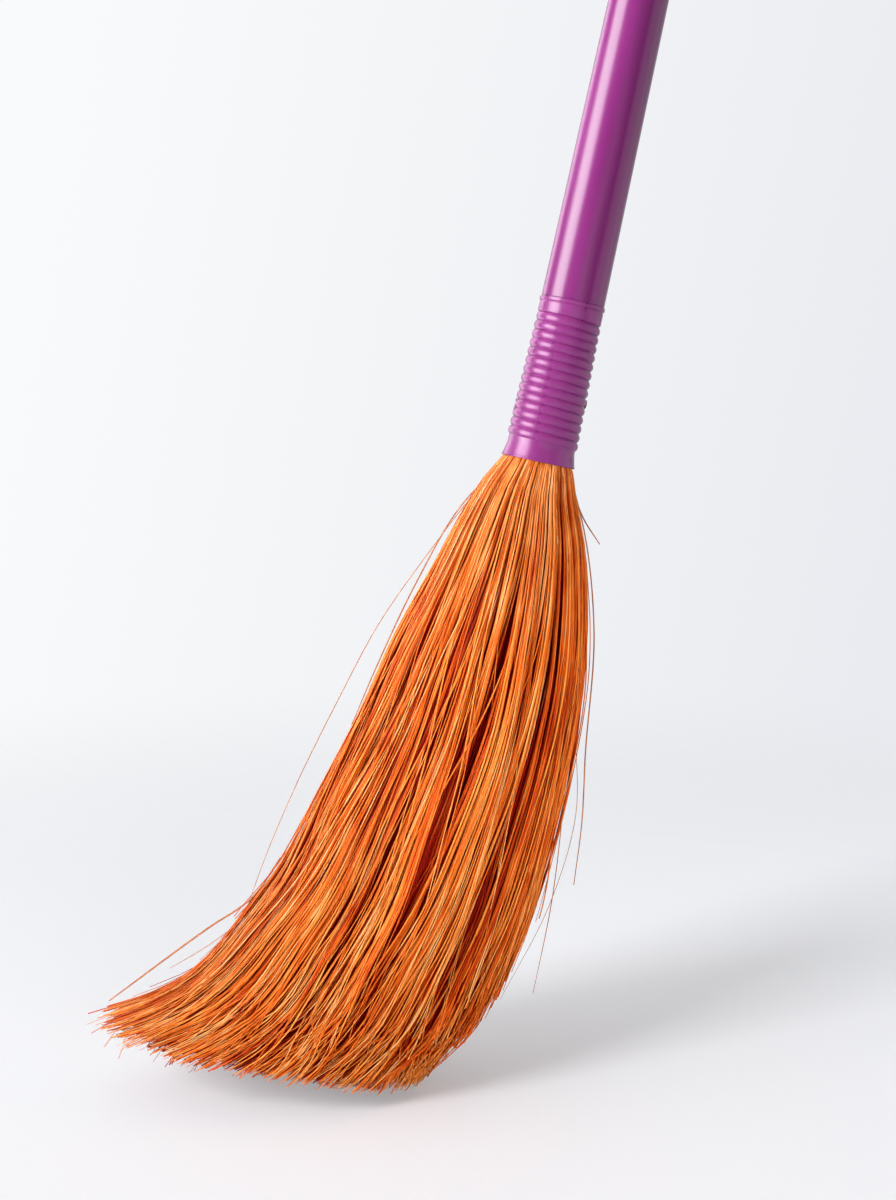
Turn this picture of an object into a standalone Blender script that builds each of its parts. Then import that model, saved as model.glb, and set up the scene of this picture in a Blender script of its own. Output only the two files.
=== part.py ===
"""Household broom: tapered plastic tube handle, helically ribbed collar and a swept head of grass fibre.

Metres, +Z up. The handle's axis is the Z axis and the trimmed end of the fibres lies on Z = 0.
The head sweeps towards -X (the toe); +X is the heel, where the fibres stay almost straight.
"""
import math

import bmesh
import bpy

# General fits
FIT_GAP = 0.0003
CUT_OVERRUN = 0.004
SMOOTH_ANGLE = math.radians(38)
ROUND_SEGMENTS = 32
PEG_SEGMENTS = 20
PIN_SEGMENTS = 12

# Fibre head, measured from the collar's mouth down to the trimmed end
HEAD_LENGTH = 0.306
TOE_REACH = 0.155
HEEL_REACH = 0.0462
HALF_DEPTH = 0.048
TOE_RISE = 0.006
RISE_START_SHARE = -0.2
HANK_GAP = 0.0006
OUTER_HANKS = 14
INNER_HANKS = 8
CORE_SHARE = 0.30
RING_SPLIT_SHARE = 0.486
LOBE_SHARE = 0.045
OUTER_ARC_POINTS = 5
INNER_ARC_POINTS = 3
CORE_POINTS = 12

# Outline of the loose head as shares of its length, toe reach, heel reach and half depth
HEAD_OUTLINE_SHARES = (
    (0.951, 0.157, 0.475, 0.465),
    (0.892, 0.197, 0.640, 0.590),
    (0.817, 0.237, 0.780, 0.705),
    (0.706, 0.298, 0.930, 0.820),
    (0.562, 0.363, 1.000, 0.900),
    (0.422, 0.445, 0.990, 0.950),
    (0.288, 0.523, 0.926, 0.980),
    (0.209, 0.594, 0.818, 0.990),
    (0.137, 0.665, 0.650, 1.000),
    (0.088, 0.739, 0.474, 1.000),
    (0.049, 0.832, 0.300, 0.990),
    (0.000, 1.000, 0.090, 0.980),
)

# Ribbed collar, heights above its mouth
COLLAR_LENGTH = 0.0764
LIP_RADIUS = 0.0156
LIP_HEIGHT = 0.0022
TOP_BAND_RADIUS = 0.01525
TOP_BAND_HEIGHT = 0.0062
RIB_ROOT_RADIUS_TOP = 0.0144
RIB_ROOT_RADIUS_BOTTOM = 0.0161
RIB_HEIGHT = 0.00105
RIB_PITCH = 0.0041
RIB_RUNOUT_TURNS = 0.3
RIB_START_ANGLE = math.radians(100)
MOUTH_BAND_HEIGHT = 0.0070
MOUTH_RADIUS = 0.0177
MOUTH_BORE_RADIUS = 0.0166
MOUTH_EDGE = 0.0004
THROAT_HEIGHT = 0.008
CHAMBER_RADIUS = 0.0136
SOCKET_DEPTH = 0.022
LEDGE_THICKNESS = 0.002
LEDGE_RADIUS = 0.0092

# One turn of the rib: share of the pitch and share of the rib's height, row by row
RIB_ROW_SHARES = ((0.0, 0.0), (0.2, 0.78), (0.5, 1.0), (0.8, 0.78))
BAND_FOOT_SHARE = 0.22

# Handle tube, above the collar
TUBE_LENGTH = 0.474
TUBE_BASE_RADIUS = 0.01505
TUBE_TOP_RADIUS = 0.0110
TUBE_WALL = 0.0018
TUBE_EDGE = 0.0005
NECK_RADIUS = 0.0125
NECK_WALL = 0.0018
NECK_SHOULDER = 0.006

# Root peg
PEG_SHANK_LENGTH = 0.030
PEG_SPIKE_RADIUS = 0.0085
PEG_TIP_RADIUS = 0.0022
PEG_TIP_DEPTH = 0.015
PEG_CHAMFER = 0.001
PEG_GROOVE_DEPTH = 0.0005
PEG_GROOVE_WIDTH = 0.0012
PEG_GROOVE_SHARES = (0.66, 0.84)

# A groove's profile: share of its width from its middle and share of its depth
GROOVE_PROFILE_SHARES = ((-1, 0), (-0.5, 1), (0.5, 1), (1, 0))

# Cross pin through the tube's neck and the peg
PIN_RADIUS = 0.0015
PIN_CHAMFER = 0.0004
PIN_HEIGHT = 0.011

# Collar nails; their heights are shares of the span between the second and the third wire
NAIL_SHANK_RADIUS = 0.0009
NAIL_LENGTH = 0.014
NAIL_POINT = 0.003
NAIL_HEAD_THICKNESS = 0.0009
NAIL_HEAD_SINK = 0.0006
NAIL_HEAD_ROUNDING = 0.0003
LEFT_NAIL_SHARE = 0.25
LEFT_NAIL_HEAD_RADIUS = 0.0028
RIGHT_NAIL_SHARE = 0.61
RIGHT_NAIL_HEAD_RADIUS = 0.0021

# Binding wires: two above the throat, one below the ledge
WIRE_RADIUS = 0.00055
WIRE_PITCH = 0.0014
WIRE_TURNS = 3
WIRE_POINTS_PER_TURN = 16
WIRE_SPACING = 0.0005
WIRE_LEDGE_SPACE = 0.009

# Hanger cap
CAP_PLUG_LENGTH = 0.018
CAP_PLUG_CHAMFER = 0.001
CAP_FLANGE_HEIGHT = 0.003
CAP_DOME_HEIGHT = 0.005
CAP_DOME_RADIUS = 0.0055
DOME_SHOULDER_SHARE = 0.7
TAB_HALF_WIDTH = 0.009
TAB_THICKNESS = 0.006
TAB_DROP = 0.0115
TAB_EDGE = 0.0009
EYE_RADIUS = 0.0045
EYE_RISE = 0.0135
TAB_RAYS = 32

# Places that follow from the sizes above
MOUTH_Z = HEAD_LENGTH
COLLAR_TOP_Z = MOUTH_Z + COLLAR_LENGTH
LEDGE_TOP = COLLAR_LENGTH - SOCKET_DEPTH
LEDGE_BOTTOM = LEDGE_TOP - LEDGE_THICKNESS
TUBE_TOP_Z = COLLAR_TOP_Z + FIT_GAP + TUBE_LENGTH
NECK_LENGTH = SOCKET_DEPTH
NECK_BORE_RADIUS = NECK_RADIUS - NECK_WALL
PEG_SHANK_RADIUS = NECK_BORE_RADIUS - FIT_GAP
BUNDLE_ROOT_RADIUS = CHAMBER_RADIUS - 2 * (WIRE_RADIUS + FIT_GAP)
ROOT_TOP = LEDGE_BOTTOM - FIT_GAP
HALF_COIL = WIRE_PITCH * WIRE_TURNS / 2 + WIRE_RADIUS
FIRST_WIRE_HEIGHT = THROAT_HEIGHT + WIRE_SPACING + HALF_COIL
SECOND_WIRE_HEIGHT = FIRST_WIRE_HEIGHT + WIRE_SPACING + 2 * HALF_COIL
THIRD_WIRE_HEIGHT = LEDGE_BOTTOM - WIRE_LEDGE_SPACE - HALF_COIL


def linear(value):
    """One sRGB channel turned to linear."""
    return value / 12.92 if value <= 0.04045 else ((value + 0.055) / 1.055) ** 2.4


def material(name, hex_colour, roughness, metallic=0.0):
    """A plain Principled material from an sRGB hex colour."""
    made = bpy.data.materials.new(name)
    made.use_nodes = True
    shader = made.node_tree.nodes["Principled BSDF"]
    channels = [int(hex_colour[i:i + 2], 16) / 255 for i in (0, 2, 4)]
    shader.inputs["Base Color"].default_value = [linear(c) for c in channels] + [1]
    shader.inputs["Roughness"].default_value = roughness
    shader.inputs["Metallic"].default_value = metallic
    return made


def piece(name, bm, look, parent, height=0.0):
    """Closes a bmesh into a named object standing at a height on the broom's axis."""
    bmesh.ops.recalc_face_normals(bm, faces=bm.faces)
    mesh = bpy.data.meshes.new(name)
    bm.to_mesh(mesh)
    bm.free()
    mesh.materials.append(look)
    mesh.shade_smooth()
    mesh.set_sharp_from_angle(angle=SMOOTH_ANGLE)
    made = bpy.data.objects.new(name, mesh)
    bpy.context.collection.objects.link(made)
    made.parent = parent
    made.location.z = height
    return made


def cut(target, cutter, operation="DIFFERENCE"):
    """Cuts one object with another, or joins it on, and hides the tool."""
    cutter.hide_render = True
    cutter.display_type = "WIRE"
    step = target.modifiers.new(cutter.name, "BOOLEAN")
    step.operation = operation
    step.object = cutter


def turned(profile, segments, closed):
    """Turns (radius, height) points about Z; an open profile starts and ends on the axis."""
    bm = bmesh.new()
    rings = []
    for radius, height in profile:
        if radius == 0:
            rings.append([bm.verts.new((0, 0, height))] * segments)
            continue
        angles = [2 * math.pi * i / segments for i in range(segments)]
        rings.append([bm.verts.new((radius * math.cos(a), radius * math.sin(a), height)) for a in angles])
    pairs = list(zip(rings, rings[1:]))
    if closed:
        pairs.append((rings[-1], rings[0]))
    for lower, upper in pairs:
        bridge(bm, lower, upper)
    return bm


def bridge(bm, lower, upper):
    """Faces between two rings of equal count; a ring at one point makes a fan."""
    count = len(lower)
    for i in range(count):
        corners = [lower[i], lower[(i + 1) % count], upper[(i + 1) % count], upper[i]]
        bm.faces.new(list(dict.fromkeys(corners)))


def stacked(outlines):
    """Lofts a solid through outlines of equal count and closes both ends."""
    bm = bmesh.new()
    rings = [[bm.verts.new(point) for point in outline] for outline in outlines]
    for lower, upper in zip(rings, rings[1:]):
        bridge(bm, lower, upper)
    bm.faces.new(rings[0])
    bm.faces.new(rings[-1])
    return bm


def ease(share):
    """Rises smoothly from 0 to 1."""
    share = min(max(share, 0), 1)
    return share * share * (3 - 2 * share)


def peg_radius(height):
    """Radius of the peg's spike at a height above the collar's mouth."""
    share = (height + PEG_TIP_DEPTH) / (LEDGE_TOP + PEG_TIP_DEPTH)
    return PEG_TIP_RADIUS + (PEG_SPIKE_RADIUS - PEG_TIP_RADIUS) * share


def rib_root_radius(height):
    """Radius between the ribs at a height above the collar's mouth."""
    low = MOUTH_BAND_HEIGHT
    high = COLLAR_LENGTH - TOP_BAND_HEIGHT
    share = (height - low) / (high - low)
    return RIB_ROOT_RADIUS_BOTTOM + (RIB_ROOT_RADIUS_TOP - RIB_ROOT_RADIUS_BOTTOM) * share


def nail_seat_radius(height):
    """Where the underside of a nail's head lies, sunk a little into the ribs."""
    return rib_root_radius(height) + RIB_HEIGHT - NAIL_HEAD_SINK


def rib_rows(bm):
    """Rows of vertices that climb the collar as a left-hand helix: one rounded rib, then the band's foot."""
    low = MOUTH_BAND_HEIGHT
    high = COLLAR_LENGTH - TOP_BAND_HEIGHT
    per_turn = len(RIB_ROW_SHARES)
    turns = max(round((high - low) / RIB_PITCH) - 1, 2)
    pitch = (high - low) / (turns + 1)
    rows = []
    for k in range(turns * per_turn + 1):
        pitch_share, rise_share = RIB_ROW_SHARES[k % per_turn]
        row = []
        for j in range(ROUND_SEGMENTS):
            travelled = k // per_turn + j / ROUND_SEGMENTS
            height = low + pitch * (travelled + pitch_share)
            fade = ease(travelled / RIB_RUNOUT_TURNS) * ease((turns - travelled) / RIB_RUNOUT_TURNS)
            radius = rib_root_radius(height) + RIB_HEIGHT * rise_share * fade
            row.append(bm.verts.new(collar_point(radius, j, height)))
        rows.append(row)

    # The lower edge of the top band follows the last turn and rises out of it
    foot = []
    for j in range(ROUND_SEGMENTS):
        travelled = turns + j / ROUND_SEGMENTS
        height = low + pitch * (travelled + BAND_FOOT_SHARE)
        root = rib_root_radius(height)
        rise = ease((travelled - turns) / RIB_RUNOUT_TURNS)
        foot.append(bm.verts.new(collar_point(root + (TOP_BAND_RADIUS - root) * rise, j, height)))
    rows.append(foot)
    return rows


def collar_point(radius, j, height):
    """A point on the collar, counted clockwise seen from above, so that the helix is left-handed."""
    angle = RIB_START_ANGLE - 2 * math.pi * j / ROUND_SEGMENTS
    return radius * math.cos(angle), radius * math.sin(angle), height


def collar_rings(bm, profile):
    """Plain rings of the collar from (radius, height) points."""
    rings = []
    for radius, height in profile:
        rings.append([bm.verts.new(collar_point(radius, j, height)) for j in range(ROUND_SEGMENTS)])
    for lower, upper in zip(rings, rings[1:]):
        bridge(bm, lower, upper)
    return rings


def collar_shell():
    """Collar wall: mouth band, helical rib, top band with its lip, tube socket, ledge, fibre chamber."""
    bm = bmesh.new()
    per_turn = len(RIB_ROW_SHARES)
    rows = rib_rows(bm)
    last = ROUND_SEGMENTS - 1

    # The helical rows joined to each other, also across the seam one turn further up
    for k in range(len(rows) - 1):
        for j in range(last):
            bm.faces.new([rows[k][j], rows[k][j + 1], rows[k + 1][j + 1], rows[k + 1][j]])
    for k in range(len(rows) - 1 - per_turn):
        bm.faces.new([rows[k][last], rows[k + per_turn][0], rows[k + per_turn + 1][0], rows[k + 1][last]])

    # The mouth band below the rib, whose upper edge follows the first turn
    band_top = MOUTH_BAND_HEIGHT - RIB_PITCH / per_turn
    band = collar_rings(bm, (
        (MOUTH_RADIUS - MOUTH_EDGE, 0),
        (MOUTH_RADIUS, MOUTH_EDGE),
        ((MOUTH_RADIUS + RIB_ROOT_RADIUS_BOTTOM) / 2, band_top / 2),
        (rib_root_radius(band_top), band_top),
    ))
    for j in range(last):
        bm.faces.new([band[-1][j], band[-1][j + 1], rows[0][j + 1], rows[0][j]])
    step = [rows[k][0] for k in range(per_turn + 1)]
    bm.faces.new([band[-1][last], band[-1][0]] + step + [rows[0][last]])

    # The top band, its lip, the socket for the tube's neck, the ledge and the fibre chamber
    lip_low = COLLAR_LENGTH - LIP_HEIGHT
    lip_mid = COLLAR_LENGTH - LIP_HEIGHT / 2
    socket_radius = NECK_RADIUS + FIT_GAP
    inside = collar_rings(bm, (
        (TOP_BAND_RADIUS, COLLAR_LENGTH - TOP_BAND_HEIGHT + RIB_PITCH / 2),
        (TOP_BAND_RADIUS, lip_low),
        (LIP_RADIUS, lip_low + MOUTH_EDGE),
        (LIP_RADIUS, lip_mid),
        (LIP_RADIUS - MOUTH_EDGE, COLLAR_LENGTH),
        (socket_radius + MOUTH_EDGE, COLLAR_LENGTH),
        (socket_radius, COLLAR_LENGTH - MOUTH_EDGE),
        (socket_radius, LEDGE_TOP),
        (LEDGE_RADIUS, LEDGE_TOP),
        (LEDGE_RADIUS, LEDGE_BOTTOM),
        (CHAMBER_RADIUS, LEDGE_BOTTOM),
        (CHAMBER_RADIUS, THROAT_HEIGHT),
        ((CHAMBER_RADIUS + MOUTH_BORE_RADIUS) / 2 - MOUTH_EDGE, THROAT_HEIGHT / 2),
        (MOUTH_BORE_RADIUS, MOUTH_EDGE),
        (MOUTH_BORE_RADIUS + MOUTH_EDGE, 0),
    ))
    for j in range(last):
        bm.faces.new([rows[-1][j], rows[-1][j + 1], inside[0][j + 1], inside[0][j]])
    step = [rows[k][last] for k in range(len(rows) - 1, len(rows) - 2 - per_turn, -1)]
    bm.faces.new(step + [rows[-1][0], inside[0][0], inside[0][last]])
    bridge(bm, inside[-1], band[0])
    return bm


def tube_shell():
    """Tapered handle tube with a necked foot that fits the collar's socket."""
    top_bore = TUBE_TOP_RADIUS - TUBE_WALL
    base_bore = TUBE_BASE_RADIUS - TUBE_WALL
    return turned((
        (NECK_RADIUS - TUBE_EDGE, -NECK_LENGTH),
        (NECK_RADIUS, TUBE_EDGE - NECK_LENGTH),
        (NECK_RADIUS, 0),
        (TUBE_BASE_RADIUS - TUBE_EDGE, 0),
        (TUBE_BASE_RADIUS, TUBE_EDGE),
        (TUBE_TOP_RADIUS, TUBE_LENGTH - TUBE_EDGE),
        (TUBE_TOP_RADIUS - TUBE_EDGE, TUBE_LENGTH),
        (top_bore, TUBE_LENGTH),
        (base_bore, 2 * NECK_SHOULDER),
        (NECK_BORE_RADIUS, NECK_SHOULDER),
        (NECK_BORE_RADIUS, -NECK_LENGTH),
    ), ROUND_SEGMENTS, True)


def peg_solid():
    """Turned root peg, its origin on the ledge: shank above, grooved spike below."""
    length = LEDGE_TOP + PEG_TIP_DEPTH
    profile = [(0, -length), (PEG_TIP_RADIUS, -length)]
    for share in PEG_GROOVE_SHARES:
        middle = share * length - PEG_TIP_DEPTH
        for width_share, depth_share in GROOVE_PROFILE_SHARES:
            height = middle + width_share * PEG_GROOVE_WIDTH
            profile.append((peg_radius(height) - depth_share * PEG_GROOVE_DEPTH, height - LEDGE_TOP))
    profile += [
        (PEG_SPIKE_RADIUS, 0),
        (PEG_SPIKE_RADIUS, FIT_GAP),
        (PEG_SHANK_RADIUS, FIT_GAP),
        (PEG_SHANK_RADIUS, PEG_SHANK_LENGTH - PEG_CHAMFER),
        (PEG_SHANK_RADIUS - PEG_CHAMFER, PEG_SHANK_LENGTH),
        (0, PEG_SHANK_LENGTH),
    ]
    return turned(profile, PEG_SEGMENTS, False)


def pin_solid(radius, half_length, chamfer):
    """Round pin along Z about its middle, with chamfered ends."""
    return turned((
        (0, -half_length),
        (radius - chamfer, -half_length),
        (radius, chamfer - half_length),
        (radius, half_length - chamfer),
        (radius - chamfer, half_length),
        (0, half_length),
    ), PIN_SEGMENTS, False)


def nail_solid(head_radius):
    """Flat-headed nail along Z, its origin under the head."""
    return turned((
        (0, -NAIL_LENGTH),
        (NAIL_SHANK_RADIUS, NAIL_POINT - NAIL_LENGTH),
        (NAIL_SHANK_RADIUS, 0),
        (head_radius, 0),
        (head_radius, NAIL_HEAD_THICKNESS - NAIL_HEAD_ROUNDING),
        (head_radius - NAIL_HEAD_ROUNDING, NAIL_HEAD_THICKNESS),
        (0, NAIL_HEAD_THICKNESS),
    ), PIN_SEGMENTS, False)


def nail_room(head_radius):
    """The hole and the flat seat that one nail needs, with its clearance."""
    hole = NAIL_SHANK_RADIUS + FIT_GAP
    seat = head_radius + FIT_GAP
    return turned((
        (0, -NAIL_LENGTH - FIT_GAP),
        (hole, -NAIL_LENGTH - FIT_GAP),
        (hole, -FIT_GAP),
        (seat, -FIT_GAP),
        (seat, CUT_OVERRUN),
        (0, CUT_OVERRUN),
    ), PIN_SEGMENTS, False)


def wire_coil(name, height, look, parent):
    """Round wire wound three times about the fibre roots."""
    radius = BUNDLE_ROOT_RADIUS + FIT_GAP + WIRE_RADIUS
    count = WIRE_TURNS * WIRE_POINTS_PER_TURN + 1
    curve = bpy.data.curves.new(name, "CURVE")
    curve.dimensions = "3D"
    curve.bevel_depth = WIRE_RADIUS
    curve.bevel_resolution = 1
    curve.use_fill_caps = True
    curve.materials.append(look)
    line = curve.splines.new("POLY")
    line.points.add(count - 1)
    for i, point in enumerate(line.points):
        turned_by = 2 * math.pi * i / WIRE_POINTS_PER_TURN
        climb = (i / WIRE_POINTS_PER_TURN - WIRE_TURNS / 2) * WIRE_PITCH
        point.co = (radius * math.cos(turned_by), radius * math.sin(turned_by), climb, 1)
    made = bpy.data.objects.new(name, curve)
    bpy.context.collection.objects.link(made)
    made.parent = parent
    made.location.z = MOUTH_Z + height
    return made


def cap_base():
    """Plug, flange and dome of the hanger cap, its origin on the tube's end."""
    plug_radius = TUBE_TOP_RADIUS - TUBE_WALL - FIT_GAP
    flange_top = FIT_GAP + CAP_FLANGE_HEIGHT
    return turned((
        (0, -CAP_PLUG_LENGTH),
        (plug_radius - CAP_PLUG_CHAMFER, -CAP_PLUG_LENGTH),
        (plug_radius, CAP_PLUG_CHAMFER - CAP_PLUG_LENGTH),
        (plug_radius, FIT_GAP),
        (TUBE_TOP_RADIUS - TUBE_EDGE, FIT_GAP),
        (TUBE_TOP_RADIUS, FIT_GAP + TUBE_EDGE),
        (TUBE_TOP_RADIUS, flange_top),
        ((TUBE_TOP_RADIUS + CAP_DOME_RADIUS) / 2, flange_top + DOME_SHOULDER_SHARE * CAP_DOME_HEIGHT),
        (CAP_DOME_RADIUS, flange_top + CAP_DOME_HEIGHT),
        (0, flange_top + CAP_DOME_HEIGHT),
    ), ROUND_SEGMENTS, False)


def cap_tab():
    """Flat eye tab about the eye's own axis, which runs along Y: round on top, straight-sided below."""
    half = TAB_THICKNESS / 2
    bm = bmesh.new()
    rings = []
    for i in range(TAB_RAYS):
        angle = 2 * math.pi * i / TAB_RAYS
        across, up = math.cos(angle), math.sin(angle)
        reach = TAB_HALF_WIDTH
        if up < 0:
            reach = min(TAB_HALF_WIDTH / max(abs(across), TAB_HALF_WIDTH / TAB_DROP), TAB_DROP / abs(up))
        section = (
            (EYE_RADIUS + TAB_EDGE, -half), (EYE_RADIUS, TAB_EDGE - half),
            (EYE_RADIUS, half - TAB_EDGE), (EYE_RADIUS + TAB_EDGE, half),
            (reach - TAB_EDGE, half), (reach, half - TAB_EDGE),
            (reach, TAB_EDGE - half), (reach - TAB_EDGE, -half),
        )
        rings.append([bm.verts.new((r * across, y, r * up)) for r, y in section])
    for ring, following in zip(rings, rings[1:] + rings[:1]):
        bridge(bm, ring, following)
    return bm


def head_sections():
    """Stations down the fibres: height, centre, half width, half depth and the share kept by the core."""
    sections = []
    for height in (ROOT_TOP, THROAT_HEIGHT):
        inner = (peg_radius(height) + FIT_GAP) / BUNDLE_ROOT_RADIUS
        sections.append((MOUTH_Z + height, 0, BUNDLE_ROOT_RADIUS, BUNDLE_ROOT_RADIUS, max(inner, CORE_SHARE)))
    mouth = MOUTH_BORE_RADIUS - FIT_GAP
    sections.append((MOUTH_Z, 0, mouth, mouth, CORE_SHARE))
    for height_share, toe_share, heel_share, depth_share in HEAD_OUTLINE_SHARES:
        toe = -toe_share * TOE_REACH
        heel = heel_share * HEEL_REACH
        half_width = (heel - toe) / 2
        section = (height_share * HEAD_LENGTH, (toe + heel) / 2, half_width, depth_share * HALF_DEPTH, CORE_SHARE)
        sections.append(section)
    return sections


def placed(section, across, deep):
    """A point of the unit disc put into one station of the head."""
    height, centre, half_width, half_depth, _ = section
    return centre + across * half_width, deep * half_depth, height


def worn(outlines, sections):
    """Shortens the trimmed end along its own fibres, more and more towards the toe."""
    last_height = sections[-2][0]
    _, centre, half_width, _, _ = sections[-1]
    end = []
    for low, high in zip(outlines[-1], outlines[-2]):
        across = (low[0] - centre) / half_width
        lost = TOE_RISE * ease((RISE_START_SHARE - across) / (1 + RISE_START_SHARE))
        end.append(tuple(a + (b - a) * lost / last_height for a, b in zip(low, high)))
    return outlines[:-1] + [end]


def arc(radius_share, start, end, inset, count, lobe=0.0):
    """Points of an arc in the unit disc, drawn in at its ends and rounded like a bundle by its lobe."""
    points = []
    for i in range(count):
        along = i / (count - 1)
        angle = start + inset + (end - start - 2 * inset) * along
        radius = radius_share * (1 - lobe * (2 * along - 1) ** 2)
        points.append((radius * math.cos(angle), radius * math.sin(angle)))
    return points


def hank(section, ring, index):
    """Outline of one hank at one station, clear of its neighbours by the hank gap."""
    _, _, half_width, half_depth, core_share = section
    smaller = min(half_width, half_depth)
    clear = HANK_GAP / 2 / smaller
    split = core_share + RING_SPLIT_SHARE * (1 - core_share)
    count = OUTER_HANKS if ring == "outer" else INNER_HANKS
    inner, outer, lobe = (split, 1 + clear, LOBE_SHARE) if ring == "outer" else (core_share, split, 0.0)
    start = 2 * math.pi * (index - 0.5) / count
    end = 2 * math.pi * (index + 0.5) / count
    half_step = (end - start) / (INNER_ARC_POINTS - 1) / 2
    low = (inner + clear) / math.cos(half_step)
    high = outer - clear
    many = OUTER_ARC_POINTS if ring == "outer" else INNER_ARC_POINTS
    points = arc(high, start, end, clear / high, many, lobe)
    points += reversed(arc(low, start, end, clear / low, INNER_ARC_POINTS))
    return [placed(section, across, deep) for across, deep in points]


def core(section):
    """Outline of the core hank at one station."""
    _, _, half_width, half_depth, core_share = section
    radius = core_share - HANK_GAP / 2 / min(half_width, half_depth)
    angles = [2 * math.pi * i / CORE_POINTS for i in range(CORE_POINTS)]
    return [placed(section, radius * math.cos(a), radius * math.sin(a)) for a in angles]


def clear_scene():
    """Removes what the scene holds."""
    for old in list(bpy.data.objects):
        bpy.data.objects.remove(old)


def add_handle(axis):
    """Tube and hanger cap."""
    plastic = material("moulded_polypropylene", "9A3A86", 0.28)
    tube = piece("handle_tube", tube_shell(), plastic, axis, COLLAR_TOP_Z + FIT_GAP)
    cap = piece("hanger_cap", cap_base(), plastic, axis, TUBE_TOP_Z)
    tab = piece("eye_tab_tool", cap_tab(), plastic, axis, TUBE_TOP_Z + FIT_GAP + EYE_RISE)
    cut(cap, tab, "UNION")
    return tube


def add_collar(axis):
    """Ribbed collar."""
    plastic = material("moulded_sleeve", "A0488F", 0.32)
    return piece("ribbed_collar", collar_shell(), plastic, axis, MOUTH_Z)


def add_peg(axis, tube):
    """Root peg and the pin that holds it in the tube's neck."""
    wood = material("turned_softwood", "C9A06B", 0.7)
    steel = material("drawn_steel", "9C9EA1", 0.4, 1.0)
    peg = piece("root_peg", peg_solid(), wood, axis, MOUTH_Z + LEDGE_TOP)
    height = MOUTH_Z + LEDGE_TOP + PIN_HEIGHT
    pin = piece("peg_pin", pin_solid(PIN_RADIUS, NECK_RADIUS - FIT_GAP, PIN_CHAMFER), steel, axis, height)
    room = piece("pin_hole_tool", pin_solid(PIN_RADIUS + FIT_GAP, NECK_RADIUS + CUT_OVERRUN, 0), steel, axis, height)
    for each in (pin, room):
        each.rotation_euler.x = math.pi / 2
    cut(tube, room)
    cut(peg, room)
    return peg


def add_nails(axis):
    """Two collar nails at the toe and heel sides, and the room that each one needs."""
    steel = material("blued_steel", "4B4046", 0.45, 1.0)
    rooms = []
    low = SECOND_WIRE_HEIGHT + HALF_COIL
    high = THIRD_WIRE_HEIGHT - HALF_COIL
    sides = (
        ("left", LEFT_NAIL_SHARE, LEFT_NAIL_HEAD_RADIUS, -1),
        ("right", RIGHT_NAIL_SHARE, RIGHT_NAIL_HEAD_RADIUS, 1),
    )
    for name, share, head_radius, side in sides:
        height = low + (high - low) * share
        nail = piece("collar_nail_" + name, nail_solid(head_radius), steel, axis, MOUTH_Z + height)
        room = piece("nail_room_tool_" + name, nail_room(head_radius), steel, axis, MOUTH_Z + height)
        for each in (nail, room):
            each.rotation_euler.y = side * math.pi / 2
            each.location.x = side * nail_seat_radius(height)
        rooms.append(room)
    return rooms


def add_wires(axis):
    """Binding wires round the fibre roots."""
    wire = material("galvanised_wire", "B9BCC0", 0.38, 1.0)
    for number, height in enumerate((FIRST_WIRE_HEIGHT, SECOND_WIRE_HEIGHT, THIRD_WIRE_HEIGHT), 1):
        wire_coil("binding_wire_" + str(number), height, wire, axis)


def add_head(axis):
    """All hanks of the fibre head; returns the ones that the nails are driven through."""
    colours = ("C8652A", "D8742F", "BC5A24")
    looks = [material("dyed_grass_" + str(i), colour, 0.6) for i, colour in enumerate(colours, 1)]
    sections = head_sections()
    nailed = []
    for ring, count in (("outer", OUTER_HANKS), ("inner", INNER_HANKS)):
        for index in range(count):
            outlines = worn([hank(section, ring, index) for section in sections], sections)
            look = looks[index % len(looks)]
            made = piece(ring + "_hank_" + str(index + 1).zfill(2), stacked(outlines), look, axis)
            if index in (0, count // 2):
                nailed.append(made)
    tip = MOUTH_Z - PEG_TIP_DEPTH - FIT_GAP
    lower = [section for section in sections if section[0] <= tip]
    share = (tip - lower[0][0]) / (MOUTH_Z - lower[0][0])
    mouth = sections[len(sections) - len(lower) - 1]
    top = tuple(low + (high - low) * share for low, high in zip(lower[0], mouth))
    piece("core_hank", stacked(worn([core(section) for section in [top] + lower], lower)), looks[0], axis)
    return nailed


def main():
    """Builds the broom on one empty that stands on its axis."""
    clear_scene()
    axis = bpy.data.objects.new("broom_axis", None)
    bpy.context.collection.objects.link(axis)
    tube = add_handle(axis)
    collar = add_collar(axis)
    peg = add_peg(axis, tube)
    rooms = add_nails(axis)
    add_wires(axis)
    hanks = add_head(axis)
    for room in rooms:
        for target in [collar, peg] + hanks:
            cut(target, room)


main()
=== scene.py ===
"""Looks of the one-hand broom: dyed grass head, ribbed collar, tube handle, fittings, light and camera.

Metres, +Z up. The handle's axis is the Z axis, the trimmed end stands on Z = 0 and the toe points to -X.
"""

import math

import bmesh
import bpy
import numpy as np
from mathutils import Matrix, Vector


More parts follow.
